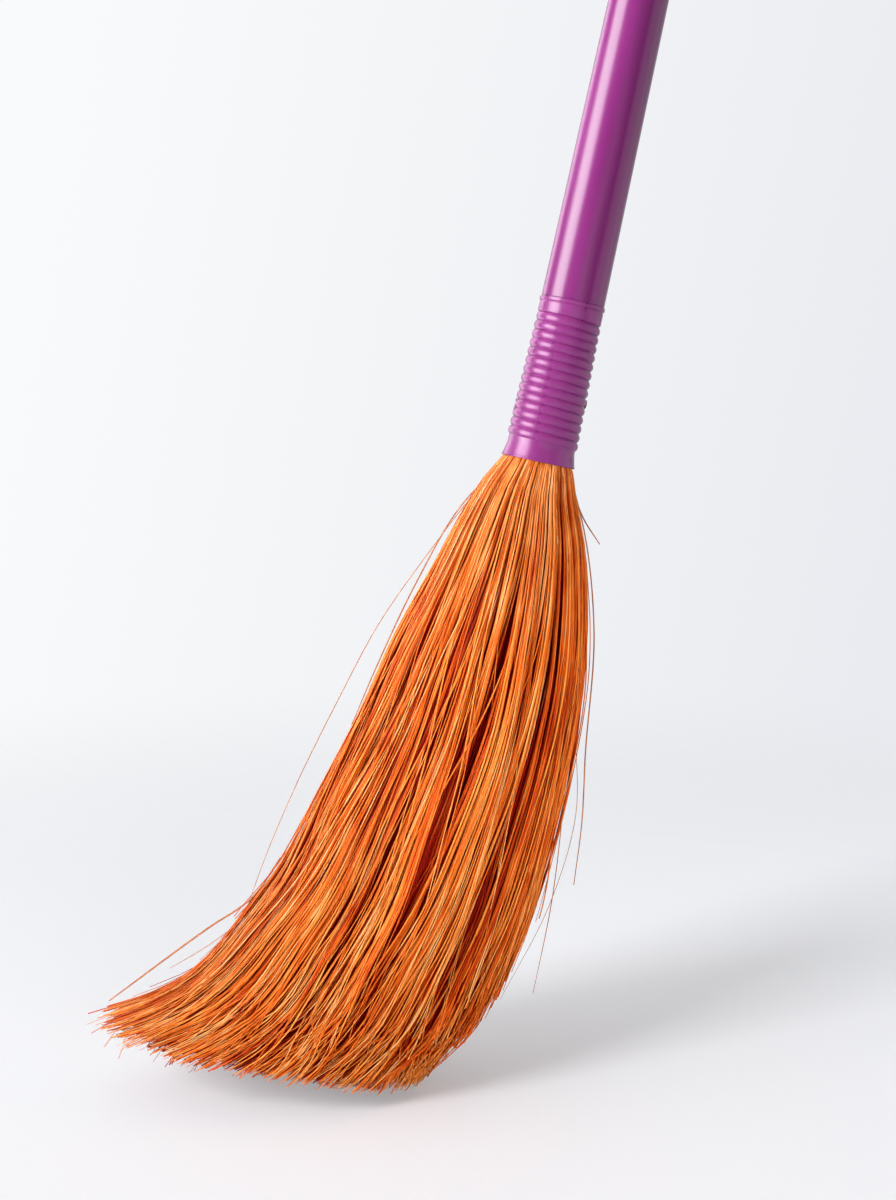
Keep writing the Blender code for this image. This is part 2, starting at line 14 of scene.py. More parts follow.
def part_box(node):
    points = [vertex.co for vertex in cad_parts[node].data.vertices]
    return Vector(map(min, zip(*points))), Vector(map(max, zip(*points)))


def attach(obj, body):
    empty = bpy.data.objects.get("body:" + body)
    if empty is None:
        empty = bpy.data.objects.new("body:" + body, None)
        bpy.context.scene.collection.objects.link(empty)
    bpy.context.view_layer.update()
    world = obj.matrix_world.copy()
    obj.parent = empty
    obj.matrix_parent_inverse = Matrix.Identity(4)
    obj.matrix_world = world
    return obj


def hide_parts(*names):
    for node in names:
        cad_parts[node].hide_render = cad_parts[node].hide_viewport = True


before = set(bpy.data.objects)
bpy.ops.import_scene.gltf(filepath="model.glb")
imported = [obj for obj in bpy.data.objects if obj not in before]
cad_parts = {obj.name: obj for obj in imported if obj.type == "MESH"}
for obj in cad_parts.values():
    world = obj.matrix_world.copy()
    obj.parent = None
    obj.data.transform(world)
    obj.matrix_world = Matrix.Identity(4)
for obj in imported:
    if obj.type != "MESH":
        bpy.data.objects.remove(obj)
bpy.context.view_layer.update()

# Lengths are written in millimetres
MM = 0.001

# Places that the frame gives
COLLAR_LOW, COLLAR_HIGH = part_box("ribbed_collar")
TUBE_LOW, TUBE_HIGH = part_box("handle_tube")
CAP_LOW, CAP_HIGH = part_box("hanger_cap")
MOUTH = COLLAR_LOW.z
COLLAR_TOP = COLLAR_HIGH.z
COLLAR_LENGTH = COLLAR_TOP - MOUTH
FIT_GAP = 0.3 * MM

# Meshes: points closer than this are one, and a rounded corner takes at most this share of each side
TOUCHING = 0.002 * MM
CORNER_SHARE = 0.45

# Camera: it looks a little down and is rolled, so that the handle leans as on a broom that is set down
PICTURE_CENTRE = Vector((-27.7 * MM, 0, MOUTH - 73 * MM))
CAMERA_DISTANCE = 1.0
CAMERA_PITCH = math.radians(4)
CAMERA_ROLL = math.radians(12.2)
CAMERA_LENS = 63.2
CAMERA_SENSOR = 36

# The studio's floor lies level in the picture, and the leaning broom stands on it with its heel
FLOOR_PITCH = math.radians(8)
STANDING_PLACE = Vector((1 * MM, 12 * MM, 0))
FLOOR_GAP = 0.5 * MM

# The lights look at the middle of the head, one at the handle and one at the heel
LIT_PLACE = Vector((-20 * MM, 0, 200 * MM))
HANDLE_PLACE = Vector((0, 0, 600 * MM))
HEEL_PLACE = Vector((10 * MM, 0, 110 * MM))

# Fibre head, the same outline as the frame's hanks
TOE_REACH = 155 * MM
HEEL_REACH = 46.2 * MM
HALF_DEPTH = 48 * MM
HEAD_OUTLINE_SHARES = (
    (0.951, 0.157, 0.475, 0.465),
    (0.892, 0.197, 0.640, 0.590),
    (0.817, 0.237, 0.780, 0.705),
    (0.706, 0.298, 0.930, 0.820),
    (0.562, 0.363, 1.000, 0.900),
    (0.422, 0.445, 0.990, 0.950),
    (0.288, 0.523, 0.926, 0.980),
    (0.209, 0.594, 0.818, 0.990),
    (0.137, 0.665, 0.650, 1.000),
    (0.088, 0.739, 0.474, 1.000),
    (0.049, 0.832, 0.300, 0.990),
    (0.000, 1.000, 0.090, 0.980),
)
HEEL_BREAK = 88 * MM
HEEL_BREAK_REACH = 42.8 * MM
HEEL_LEAN = 0.15
HEEL_WEAR_STEPS = 45
EDGE_SLACK = 1.1
THROAT_HEIGHT = 8 * MM
ROOT_HEIGHT = 52 * MM
ROOT_RADIUS = 11.9 * MM
MOUTH_BORE_RADIUS = 16.6 * MM
PEG_TIP_DEPTH = 15 * MM
PEG_TIP_RADIUS = 2.2 * MM
PEG_TOP_RADIUS = 8.5 * MM
PEG_TOP_HEIGHT = 54.4 * MM
OUTER_HANKS = 14
INNER_HANKS = 8
CORE_SHARE = 0.30
SPLIT_SHARE = 0.64

# Stems: rows and columns of clumps in a hank, the strands of a clump and the stems of a strand
OUTER_GRID = (3, 4)
INNER_GRID = (2, 3)
CORE_CLUMPS = 8
STRANDS_PER_CLUMP = 8
STEMS_PER_STRAND = 4

# Shape of one stem: its steps crowd towards the tip, and its radius tapers by shares of the way down
STEM_STEPS = 34
STEM_SIDES = 5
STEP_CROWDING = 0.8
STEM_RADIUS = 0.34 * MM
STEM_RADIUS_SCATTER = 0.26
STEM_RADIUS_LIMITS = (0.55, 1.8)
STEM_TAPER_AT = (0, 0.3, 0.5, 0.75, 1)
STEM_TAPER = (0.9, 0.95, 1, 0.95, 0.6)

# Where the clumps stand in a hank's cell and how much of their place they fill, as shares
CLUMP_OUT_OF_LINE = 0.1
CLUMP_IN_COLUMN = (0.35, 0.65)
CLUMP_FILL = (0.6, 0.68)
CORE_MIDDLE = 0.5
CORE_FILL = (0.45, 0.7)

# How far stems stray from their clump's course, as shares of the head's reach or as angles in radians
CLUMP_CLOSING = (0.35, 0.75)
REOPENING = 0.3
CLUMP_LEAN = 0.05
STRAND_LEAN = 0.09
STEM_LEAN = 0.03
LOOSE_LEAN = 0.32
TIP_SPLAY = 0.05
TIP_LIFT = 0.7
STEM_FLICK = 0.07
STRAND_FLICK = 0.09
CLUMP_LIFT = 0.02
LOOSE_LIFT = 0.03
STRAND_FILL = 0.5
ROOT_TUFT = 0.15
BODY_TUFT = 0.25
END_TUFT = 0.5
INNERMOST = 0.02
OUTERMOST = 1.01
LOOSE_STAND_OFF = 0.09

# Sways of clumps, strands and stems, sideways and in depth: their size and their waves on the way down
SIDE_SWAYS = ((0.07, 0.7), (0.03, 0.9), (0.010, 1.6))
DEPTH_SWAYS = ((0.07, 0.8), (0.035, 1.0), (0.02, 1.3))
SWING_RANGE = (0.3, 1.0)
PACE_RANGE = (0.6, 1.4)

# Shares of the way down from the mouth to the trimmed end: where a movement is complete
LIFTED_AT = 1 / 3
TUFT_WIDE_AT = 0.4
SWAYING_AT = 5 / 11
LEANING_AT = 0.5
GATHERED_AT = 10 / 13

# The same shares: where a movement begins that is complete at the end
TUFT_OPENS_AT = 0.6
SPLAY_AT = 0.7
FRAY_AT = 0.75
FLICK_AT = 0.86

# Loose stems: their share of a clump, how it changes from heel to toe, and what is left of it further in
LOOSE_SHARE = 0.08
LOOSE_MIDDLE = 1.3
LOOSE_SWING = 0.7
LOOSE_UNDER = 1 / 3

# Worn ends: how much the stems have lost or kept; places are shares of the way from the middle to the toe
TOE_TIP_LOSS = 4 * MM
TOE_TIP_AT = 0.72
TOE_DROP = 3.5 * MM
TOE_DROP_SPAN = (-0.12, 0.48)
RAGGED_END = 1.7 * MM
RAGGED_HEEL = 15 * MM
TUFT_POINT = 4 * MM
TUFT_POINT_RANGE = (0.2, 1)
LONG_SHARE = 0.07
LONG_GAIN = 8 * MM
LONG_AT = 0.5
BROKEN_SHARE = 0.10
BROKEN_LOSS = 60 * MM
BROKEN_FRAY = 0.07
FRAY_RANGE = (-0.3, 1)

# Dye: how pale the stems are from 0 to 1, and how they differ
TONE = 0.56
CLUMP_TONE_SCATTER = 0.04
STRAND_TONE_SCATTER = 0.06
STEM_TONE_SCATTER = 0.13
LOOSE_TONE = 0.12

# How deep below the head's outermost stems the painted shade is full, by shares of the way down
DEEP_AT = (0, 0.4, 0.75, 1)
DEEP_SHARES = (0.06, 0.04, 0.06, 0.15)

# Painted shade on a stem's side turned into the head: how dark it is, and how far out from the stem's
# middle it begins
PAINTED_SIDE_SHADE = 0.8
SIDE_FROM = 0.4

# Grid of heights and angles that holds how far out the head's outermost stems reach
ENVELOPE_ROWS = 48
ENVELOPE_COLUMNS = 360
ENVELOPE_BLUR = 4
ENVELOPE_LIMIT = 0.98

# Each stem's strip of the map that its finish can be baked to, as shares of the map and of a strip
STRIP_MARGIN = 0.02
STRIP_HALF_WIDTH = 0.35
STRIP_TURN = 0.2

# Stray stems that stand clear of the head: places across and up in millimetres, down to each tip
STRAY_RADIUS = 0.27 * MM
STRAY_BOW = 3 * MM
STRAYS = (
    ((-15.5, 304), (-28.3, 281), (-41.0, 254), (-57.1, 216),
     (-68.9, 175), (-79.5, 133), (-89.7, 76), (-90.7, 67)),
    ((-15.0, 304), (-30.6, 279), (-43.6, 240), (-54.4, 194), (-60.0, 165)),
    ((-80.0, 95), (-89.5, 73), (-107.1, 54), (-146.6, 9)),
    ((-76.0, 96), (-87.5, 69), (-103.0, 49), (-121.0, 31)),
    ((14.5, 306), (27.2, 284), (37.0, 274)),
    ((15.0, 306), (30.3, 274), (42.4, 236), (52.0, 173), (57.0, 144), (60.0, 112)),
    ((40.0, 200), (53.8, 143), (50.8, 101), (37.4, 50)),
    ((38.0, 200), (47.3, 142), (50.9, 105), (52.2, 56)),
)

# Ribbed collar
TURN_STEPS = 128
RIB_STEPS = 12
RIB_TURNS = 14
RIB_HEIGHT = 1.05 * MM
RIB_FULLNESS = 0.8
RIB_ROOT_RADIUS_LOW = 16.1 * MM
RIB_ROOT_RADIUS_HIGH = 14.4 * MM
RIB_START = math.radians(100)
RIB_RUNOUT_TURNS = 0.3
MOUTH_BAND_HEIGHT = 7.0 * MM
MOUTH_RADIUS = 17.7 * MM
MOUTH_EDGE = 0.4 * MM
FLARE_ROWS = 8
FLARE_START = 0.12
FLARE_CURVE = 0.8
TOP_BAND_HEIGHT = 6.2 * MM
TOP_BAND_RADIUS = 15.25 * MM
BAND_FOOT_SHARE = 0.3
BAND_START_TURNS = 0.35
LIP_RADIUS = 15.6 * MM
LIP_HEIGHT = 2.2 * MM
LIP_GROOVE = 0.35 * MM
LIP_SLOPE = 0.5 * MM
SEAM = 0.08 * MM
NECK_RADIUS = 12.5 * MM
LEDGE_TOP = 54.4 * MM
LEDGE_BOTTOM = 52.4 * MM
LEDGE_RADIUS = 9.2 * MM
CHAMBER_RADIUS = 13.6 * MM

# Nails
NAIL_SHANK_RADIUS = 0.9 * MM
NAIL_HEAD_THICKNESS = 0.9 * MM
NAIL_POINT = 3 * MM
NAIL_CROWN_SHARE = 0.6
NAIL_CROWN = 0.12 * MM
NAIL_RIM = 0.45 * MM
NAIL_EDGE = 0.3 * MM
NAIL_STEPS = 32

# Handle tube and its hanger cap
TUBE_BASE_RADIUS = 15.05 * MM
TUBE_TOP_RADIUS = 11.0 * MM
TUBE_WALL = 1.8 * MM
TUBE_EDGE = 0.25 * MM
NECK_SHOULDER = 6 * MM
CAP_PLUG_LENGTH = 18 * MM
CAP_EDGE = 1 * MM
FLANGE_HEIGHT = 3 * MM
DOME_HEIGHT = 5 * MM
DOME_RADIUS = 5.5 * MM
DOME_SHOULDER = 3.5 * MM
DOME_SHOULDER_SHARE = 0.65
TAB_HALF_WIDTH = 9 * MM
TAB_THICKNESS = 6 * MM
TAB_DROP = 11.5 * MM
TAB_EDGE = 1.6 * MM
TAB_RAYS = 64
EYE_RADIUS = 4.5 * MM

rng = np.random.default_rng(seed=21)


def linear(hex_colour):
    """An sRGB hex colour as linear RGBA."""
    channels = [int(hex_colour[i:i + 2], 16) / 255 for i in (0, 2, 4)]
    return [c / 12.92 if c <= 0.04045 else ((c + 0.055) / 1.055) ** 2.4 for c in channels] + [1]


def node(tree, kind, inputs=None, stops=(), **settings):
    """Adds one node with its settings; inputs maps a socket to a value or to the output that feeds it.

    The stops are a colour ramp's (place, hex colour) pairs.
    """
    made = tree.nodes.new(kind)
    for name, value in settings.items():
        setattr(made, name, value)
    if stops:
        elements = made.color_ramp.elements
        while len(elements) < len(stops):
            elements.new(0.5)
        for element, (place, colour) in zip(elements, stops):
            element.position = place
            element.color = linear(colour)
    for key, value in (inputs or {}).items():
        if isinstance(value, bpy.types.NodeSocket):
            tree.links.new(value, made.inputs[key])
        else:
            made.inputs[key].default_value = value
    return made


def finish_named(name):
    """An empty material and its Principled shader."""
    made = bpy.data.materials.new(name)
    made.use_nodes = True
    tree = made.node_tree
    return made, tree, tree.nodes["Principled BSDF"]


def grains(*sizes):
    """How often a pattern repeats in a metre along each axis, for grains of these sizes in millimetres."""
    return [1 / (size * MM) for size in sizes]


def grass_skin(tree, shader, place):
    """Dry, slightly waxy skin of a grass stem: fine lengthwise grain in its relief and gloss."""
    grain_place = node(tree, "ShaderNodeMapping", {"Vector": place, "Scale": grains(0.25, 0.25, 4)})
    grain = node(tree, "ShaderNodeTexNoise", {
        "Vector": grain_place.outputs[0], "Scale": 1.0, "Detail": 1.0})
    bump = node(tree, "ShaderNodeBump", {
        "Height": grain.outputs["Fac"], "Strength": 0.25, "Distance": 0.05 * MM})
    rough = node(tree, "ShaderNodeMapRange", {
        "Value": grain.outputs["Fac"], "To Min": 0.34, "To Max": 0.50})
    tree.links.new(bump.outputs[0], shader.inputs["Normal"])
    tree.links.new(rough.outputs[0], shader.inputs["Roughness"])
    shader.inputs["IOR"].default_value = 1.5
    shader.inputs["Specular IOR Level"].default_value = 0.10


def dyed_grass():
    """Dyed grass stems: the dye took unevenly, so each has its own shade, paler just below the collar;
    painted shade darkens stems deep in the head and their inner sides.
    """
    made, tree, shader = finish_named("dyed_grass_stems")
    tone = node(tree, "ShaderNodeAttribute", attribute_name="tone").outputs["Fac"]
    along = node(tree, "ShaderNodeAttribute", attribute_name="along").outputs["Fac"]
    painted_shade = node(tree, "ShaderNodeAttribute", attribute_name="painted_shade").outputs["Fac"]
    place = node(tree, "ShaderNodeTexCoord").outputs["Object"]
    # Blotches of dye 25 mm long and 6 mm across
    stretched = node(tree, "ShaderNodeMapping", {"Vector": place, "Scale": grains(6, 6, 25)})
    blotch = node(tree, "ShaderNodeTexNoise", {"Vector": stretched.outputs[0], "Scale": 1.0, "Detail": 2.0})
    shade = node(tree, "ShaderNodeMath", {0: blotch.outputs["Fac"], 1: -0.5}, operation="ADD")
    shade = node(tree, "ShaderNodeMath", {0: shade.outputs[0], 1: 0.6, 2: tone},
                 operation="MULTIPLY_ADD")
    # Painted shade also lowers the tone of stems deep in the head and of their inner sides
    shade = node(tree, "ShaderNodeMath", {0: painted_shade, 1: -0.25, 2: shade.outputs[0]},
                 operation="MULTIPLY_ADD")
    # Sweeping has worn the dye off towards the tips
    worn = node(tree, "ShaderNodeMapRange", {"Value": along, "From Min": 0.55, "To Max": 0.08})
    shade = node(tree, "ShaderNodeMath", {0: shade.outputs[0], 1: worn.outputs[0]}, operation="ADD")
    body = node(tree, "ShaderNodeValToRGB", {"Fac": shade.outputs[0]}, stops=(
        (0.00, "8C1800"), (0.25, "CC3E02"), (0.50, "F46D12"), (0.75, "FC9A3E"), (1.00, "FFC884")))
    root = node(tree, "ShaderNodeValToRGB", {"Fac": shade.outputs[0]}, stops=(
        (0.00, "701200"), (0.25, "AC3A04"), (0.50, "DE7428"), (0.75, "FCA058"), (1.00, "FFCE9A")))
    paler = node(tree, "ShaderNodeValToRGB", {"Fac": along}, stops=((0.10, "FFFFFF"), (0.34, "000000")))
    colour = node(tree, "ShaderNodeMix", {0: paler.outputs[0], 6: body.outputs[0], 7: root.outputs[0]},
                  data_type="RGBA")
    # Painted shade: stems deep in the head and their sides turned inwards are mixed towards a dark red
    deep = node(tree, "ShaderNodeMath", {0: painted_shade, 1: 1.25}, operation="MULTIPLY")
    colour = node(tree, "ShaderNodeMix", {0: deep.outputs[0], 6: colour.outputs[2], 7: linear("A00C00")},
                  data_type="RGBA")
    tree.links.new(colour.outputs[2], shader.inputs["Base Color"])
    grass_skin(tree, shader, place)
    return made


def dry_grass():
    """Stray grass stems that took little dye: thin, greyish brown and dry."""
    made, tree, shader = finish_named("dry_grass_stems")
    place = node(tree, "ShaderNodeTexCoord").outputs["Object"]
    blotch = node(tree, "ShaderNodeTexNoise", {"Vector": place, "Scale": 1 / (12 * MM), "Detail": 2.0})
    colour = node(tree, "ShaderNodeValToRGB", {"Fac": blotch.outputs["Fac"]}, stops=(
        (0.30, "B0602E"), (0.70, "D68C54")))
    tree.links.new(colour.outputs[0], shader.inputs["Base Color"])
    grass_skin(tree, shader, place)
    return made


def moulded_plastic(name, hex_low, hex_high, roughness):
    """Moulded polypropylene: satin gloss, faint flow lines along the mould and a very shallow ripple."""
    made, tree, shader = finish_named(name)
    place = node(tree, "ShaderNodeTexCoord").outputs["Object"]
    flow_place = node(tree, "ShaderNodeMapping", {"Vector": place, "Scale": grains(7, 7, 120)})
    flow = node(tree, "ShaderNodeTexNoise", {"Vector": flow_place.outputs[0], "Scale": 1.0, "Detail": 1.0})
    colour = node(tree, "ShaderNodeValToRGB", {"Fac": flow.outputs["Fac"]}, stops=(
        (0.30, hex_low), (0.70, hex_high)))
    tree.links.new(colour.outputs[0], shader.inputs["Base Color"])
    ripple = node(tree, "ShaderNodeTexNoise", {"Vector": place, "Scale": 1 / (9 * MM), "Detail": 2.0})
    bump = node(tree, "ShaderNodeBump", {
        "Height": ripple.outputs["Fac"], "Strength": 0.3, "Distance": 0.08 * MM})
    tree.links.new(bump.outputs[0], shader.inputs["Normal"])
    rough = node(tree, "ShaderNodeMapRange", {
        "Value": flow.outputs["Fac"], "To Min": roughness - 0.04, "To Max": roughness + 0.05})
    tree.links.new(rough.outputs[0], shader.inputs["Roughness"])
    shader.inputs["IOR"].default_value = 1.49
    return made


def steel(name, hex_dark, hex_light, roughness, grain_size):
    """Steel of wire and nails, bare, blued or coated with zinc: fine mottling, even gloss."""
    made, tree, shader = finish_named(name)
    place = node(tree, "ShaderNodeTexCoord").outputs["Object"]
    mottle = node(tree, "ShaderNodeTexNoise", {"Vector": place, "Scale": 1 / grain_size, "Detail": 3.0})
    colour = node(tree, "ShaderNodeValToRGB", {"Fac": mottle.outputs["Fac"]}, stops=(
        (0.3, hex_dark), (0.7, hex_light)))
    tree.links.new(colour.outputs[0], shader.inputs["Base Color"])
    rough = node(tree, "ShaderNodeMapRange", {
        "Value": mottle.outputs["Fac"], "To Min": roughness - 0.08, "To Max": roughness + 0.08})
    tree.links.new(rough.outputs[0], shader.inputs["Roughness"])
    shader.inputs["Metallic"].default_value = 1
    return made


def turned_softwood():
    """Turned softwood of a fast-grown tree: growth rings 11 mm apart, cut by the lathe, dry and matt."""
    made, tree, shader = finish_named("turned_softwood")
    place = node(tree, "ShaderNodeTexCoord").outputs["Object"]
    # The texture's wave turns through 20 radians in one unit of its scale
    rings = node(tree, "ShaderNodeTexWave", {
        "Vector": place, "Scale": 2 * math.pi / (11.31 * MM) / 20, "Distortion": 1.5, "Detail": 2.0},
        bands_direction="X")
    colour = node(tree, "ShaderNodeValToRGB", {"Fac": rings.outputs["Fac"]}, stops=(
        (0.2, "B98850"), (0.8, "D9B27C")))
    tree.links.new(colour.outputs[0], shader.inputs["Base Color"])
    bump = node(tree, "ShaderNodeBump", {
        "Height": rings.outputs["Fac"], "Strength": 0.3, "Distance": 0.1 * MM})
    tree.links.new(bump.outputs[0], shader.inputs["Normal"])
    shader.inputs["Roughness"].default_value = 0.68
    return made


def piece(name, mesh, look, slot, *nodes):
    """Makes a mesh a piece of the broom that stands for the named nodes."""
    mesh.materials.append(look)
    made = bpy.data.objects.new(name, mesh)
    bpy.context.scene.collection.objects.link(made)
    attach(made, "root")
    if nodes:
        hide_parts(*nodes)
    return made


def grid_mesh(name, points, close_rows=False, sharp_angle=40):
    """A mesh from a (rows, columns, 3) grid whose last column lies on the first; touching points merge."""
    rows, columns, _ = points.shape
    bm = bmesh.new()
    made = [[bm.verts.new(p) for p in row] for row in points]
    if close_rows:
        made.append(made[0])
    for low, high in zip(made, made[1:]):
        for j in range(columns - 1):
            bm.faces.new((low[j], low[j + 1], high[j + 1], high[j]))
    bmesh.ops.remove_doubles(bm, verts=bm.verts, dist=TOUCHING)
    bmesh.ops.recalc_face_normals(bm, faces=bm.faces)
    mesh = bpy.data.meshes.new(name)
    bm.to_mesh(mesh)
    bm.free()
    mesh.shade_smooth()
    mesh.set_sharp_from_angle(angle=math.radians(sharp_angle))
    return mesh


def turned_points(profile, base=0.0, steps=96, closed=False):
    """A grid of points from (radius, height) pairs turned about Z."""
    angles = np.linspace(0, 2 * math.pi, steps + 1)
    profile = np.array(profile + profile[:1] if closed else profile, float)
    radius, height = profile[:, :1], profile[:, 1:]
    ones = np.ones((1, steps + 1))
    return np.stack([radius * np.cos(angles), radius * np.sin(angles), (base + height) * ones], -1)


def rounded(corner, before, after, radius, steps=5):
    """Points that round one corner of a profile: a quadratic curve from one side to the other."""
    corner, before, after = (np.array(p, float) for p in (corner, before, after))
    start = corner + (before - corner) * radius / np.linalg.norm(before - corner)
    end = corner + (after - corner) * radius / np.linalg.norm(after - corner)
    curve = []
    for t in np.linspace(0, 1, steps):
        point = start * (1 - t) ** 2 + corner * 2 * t * (1 - t) + end * t * t
        curve.append(tuple(point))
    return curve


def softened(profile, radius, closed=False):
    """Rounds the inner corners of a (radius, height) profile."""
    count = len(profile)
    made = []
    for i, corner in enumerate(profile):
        if not closed and i in (0, count - 1):
            made.append(corner)
            continue
        before = profile[i - 1]
        after = profile[(i + 1) % count]
        reach = min(radius, *(math.dist(corner, end) * CORNER_SHARE for end in (before, after)))
        made += rounded(corner, before, after, reach)
    return made


def ease(share, start=0, end=1):
    """Rises smoothly from 0 at the start to 1 at the end."""
    share = np.clip((share - start) / (end - start), 0, 1)
    return share * share * (3 - 2 * share)


def smooth_through(at, stations, values):
    """A smooth curve through the values at rising stations: cubic pieces with central slopes."""
    slopes = np.gradient(values, stations)
    k = np.clip(np.searchsorted(stations, at) - 1, 0, len(stations) - 2)
    width = stations[k + 1] - stations[k]
    t = np.clip((at - stations[k]) / width, 0, 1)
    start = (1 + 2 * t) * (1 - t) ** 2 * values[k] + t * (1 - t) ** 2 * width * slopes[k]
    return start + t * t * (3 - 2 * t) * values[k + 1] - t * t * (1 - t) * width * slopes[k + 1]


def head_stations(worn):
    """Rising stations of the head: height, centre, half width and half depth.

    Without the wear, the heel's side runs straight on below its break, as the stems do.
    """
    rows = []
    for height_share, toe, heel, depth in reversed(HEAD_OUTLINE_SHARES):
        height = height_share * MOUTH
        left, right = -toe * TOE_REACH, heel * HEEL_REACH
        if height < HEEL_BREAK and not worn:
            right = HEEL_BREAK_REACH - HEEL_LEAN * (HEEL_BREAK - height)
        rows.append((height, (left + right) / 2, (right - left) / 2, depth * HALF_DEPTH))
    mouth = MOUTH_BORE_RADIUS - FIT_GAP
    rows.append((MOUTH, 0, mouth, mouth))
    rows.append((MOUTH + THROAT_HEIGHT, 0, ROOT_RADIUS, ROOT_RADIUS))
    rows.append((MOUTH + ROOT_HEIGHT, 0, ROOT_RADIUS, ROOT_RADIUS))
    return np.array(rows, float).T


STEM_COURSE = head_stations(worn=False)
WORN_OUTLINE = head_stations(worn=True)


def at_height(stations, height):
    """Centre, half width and half depth of the head at each height."""
    return [smooth_through(height, stations[0], values) for values in stations[1:]]


def in_head(reach, angle, height):
    """Points of the unit disc put at their heights in the head, kept clear of the root peg."""
    centre, half_width, half_depth = at_height(STEM_COURSE, height)
    above = height - MOUTH + PEG_TIP_DEPTH
    peg = PEG_TIP_RADIUS + (PEG_TOP_RADIUS - PEG_TIP_RADIUS) * above / (PEG_TOP_HEIGHT + PEG_TIP_DEPTH)
    inner = np.where(above > 0, (peg + FIT_GAP) / half_width, 0)
    out = inner + (1 - inner) * reach
    across = centre + out * np.cos(angle) * half_width
    deep = out * np.sin(angle) * half_depth
    return np.stack(np.broadcast_arrays(across, deep, height), -1)


def leaving_height(course):
    """Height at which each stem runs out of the worn heel, and 0 where it reaches the trimmed end."""
    heights = np.linspace(HEEL_BREAK, 0, HEEL_WEAR_STEPS)
    points = in_head(*course(1 - heights[None] / MOUTH), heights[None])
    centre, half_width, half_depth = at_height(WORN_OUTLINE, heights)
    aside = (points[..., 0] - centre) / half_width
    outside = aside ** 2 + (points[..., 1] / half_depth) ** 2 > EDGE_SLACK
    return np.where(outside.any(axis=1), heights[outside.argmax(axis=1)], 0)


def fibre_mesh(name, paths, radii, tones, depth, outward):
    """Closed round stems along (stem, step, 3) paths.

    Each stem has its tone, each step its share of painted shade for lying deep in the head, and the
    direction that leads out of it, from which the stem's inner side gets painted shade too.
    """
    count, steps, _ = paths.shape
    tangent = np.gradient(paths, axis=1)
    tangent /= np.linalg.norm(tangent, axis=2, keepdims=True)
    side = np.cross(tangent, (0.0, 1.0, 0.0))
    side /= np.linalg.norm(side, axis=2, keepdims=True)
    front = np.cross(tangent, side)
    angles = 2 * math.pi * np.arange(STEM_SIDES) / STEM_SIDES + math.pi / 4
    ring = side[:, :, None] * np.cos(angles)[:, None] + front[:, :, None] * np.sin(angles)[:, None]
    points = paths[:, :, None] + ring * radii[:, :, None, None]
    # Painted shade: deep in the head, and on each stem's side turned inwards
    turned_in = np.clip((SIDE_FROM - (ring * outward[:, :, None]).sum(axis=-1)) / (SIDE_FROM + 1), 0, 1)
    painted_shade = np.clip(depth[:, :, None] + PAINTED_SIDE_SHADE * turned_in, 0, 1)
    index = np.arange(count * steps * STEM_SIDES).reshape(count, steps, STEM_SIDES)
    around = np.roll(index, -1, axis=2)
    walls = np.stack([index[:, :-1], index[:, 1:], around[:, 1:], around[:, :-1]], -1).reshape(-1)
    caps = np.concatenate([index[:, 0], index[:, -1, ::-1]]).reshape(-1)
    corners = np.concatenate([walls, caps])
    starts = np.concatenate([
        np.arange(0, len(walls), 4), len(walls) + np.arange(0, len(caps), STEM_SIDES)])
    mesh = bpy.data.meshes.new(name)
    mesh.vertices.add(points.size // 3)
    mesh.vertices.foreach_set("co", points.astype(np.float32).ravel())
    mesh.loops.add(len(corners))
    mesh.loops.foreach_set("vertex_index", corners.astype(np.int32))
    mesh.polygons.add(len(starts))
    mesh.polygons.foreach_set("loop_start", starts.astype(np.int32))
    mesh.update(calc_edges=True)
    mesh.validate()
    along = np.linspace(0, 1, steps)
    shares = {
        "tone": np.broadcast_to(tones[:, None, None], index.shape),
        "along": np.broadcast_to(along[None, :, None], index.shape),
        "painted_shade": painted_shade,
    }
    for label, values in shares.items():
        layer = mesh.attributes.new(label, "FLOAT", "POINT")
        layer.data.foreach_set("value", np.ascontiguousarray(values, np.float32).ravel())
    # Each stem has its own upright strip of the map that its finish can be baked to
    stem = corners // (steps * STEM_SIDES)
    step = corners // STEM_SIDES % steps
    turn = 2 * math.pi * (corners % STEM_SIDES) / STEM_SIDES
    strip_u = (stem + 0.5 + STRIP_HALF_WIDTH * np.cos(turn)) / count
    strip_v = STRIP_MARGIN + (1 - 2 * STRIP_MARGIN) * along[step] + STRIP_TURN / steps * np.sin(turn)
    uv = np.stack([strip_u, strip_v], -1)
    strip = mesh.uv_layers.new(name="OFBake")
    strip.data.foreach_set("uv", uv.astype(np.float32).ravel())
    mesh.shade_smooth()
    return mesh


def stem_heights(ends):
    """Heights down each stem, closer together in the last bend."""
    share = np.linspace(0, 1, STEM_STEPS) ** STEP_CROWDING
    top = MOUTH + ROOT_HEIGHT
    return top + (ends[:, None] - top) * share


def spread_out(count, spread):
    """Random (reach, angle) offsets that fill an oval cell of the unit disc evenly, one row per stem."""
    turn = rng.uniform(0, 2 * math.pi, (count, 1))
    off = np.sqrt(rng.uniform(0, 1, (count, 1)))
    return off * np.cos(turn) * spread[0], off * np.sin(turn) * spread[1]


def sway(owner, size, waves):
    """A slow sway of each owner's stems, a function of the way down that grows from nothing."""
    count = owner.max() + 1
    phase = rng.uniform(0, 2 * math.pi, (count, 1))[owner]
    swing = rng.uniform(*SWING_RANGE, (count, 1))[owner] * size
    pace = 2 * math.pi * rng.uniform(*PACE_RANGE, (count, 1))[owner] * waves
    return lambda down: swing * np.sin(phase + pace * down) * ease(down, end=SWAYING_AT)


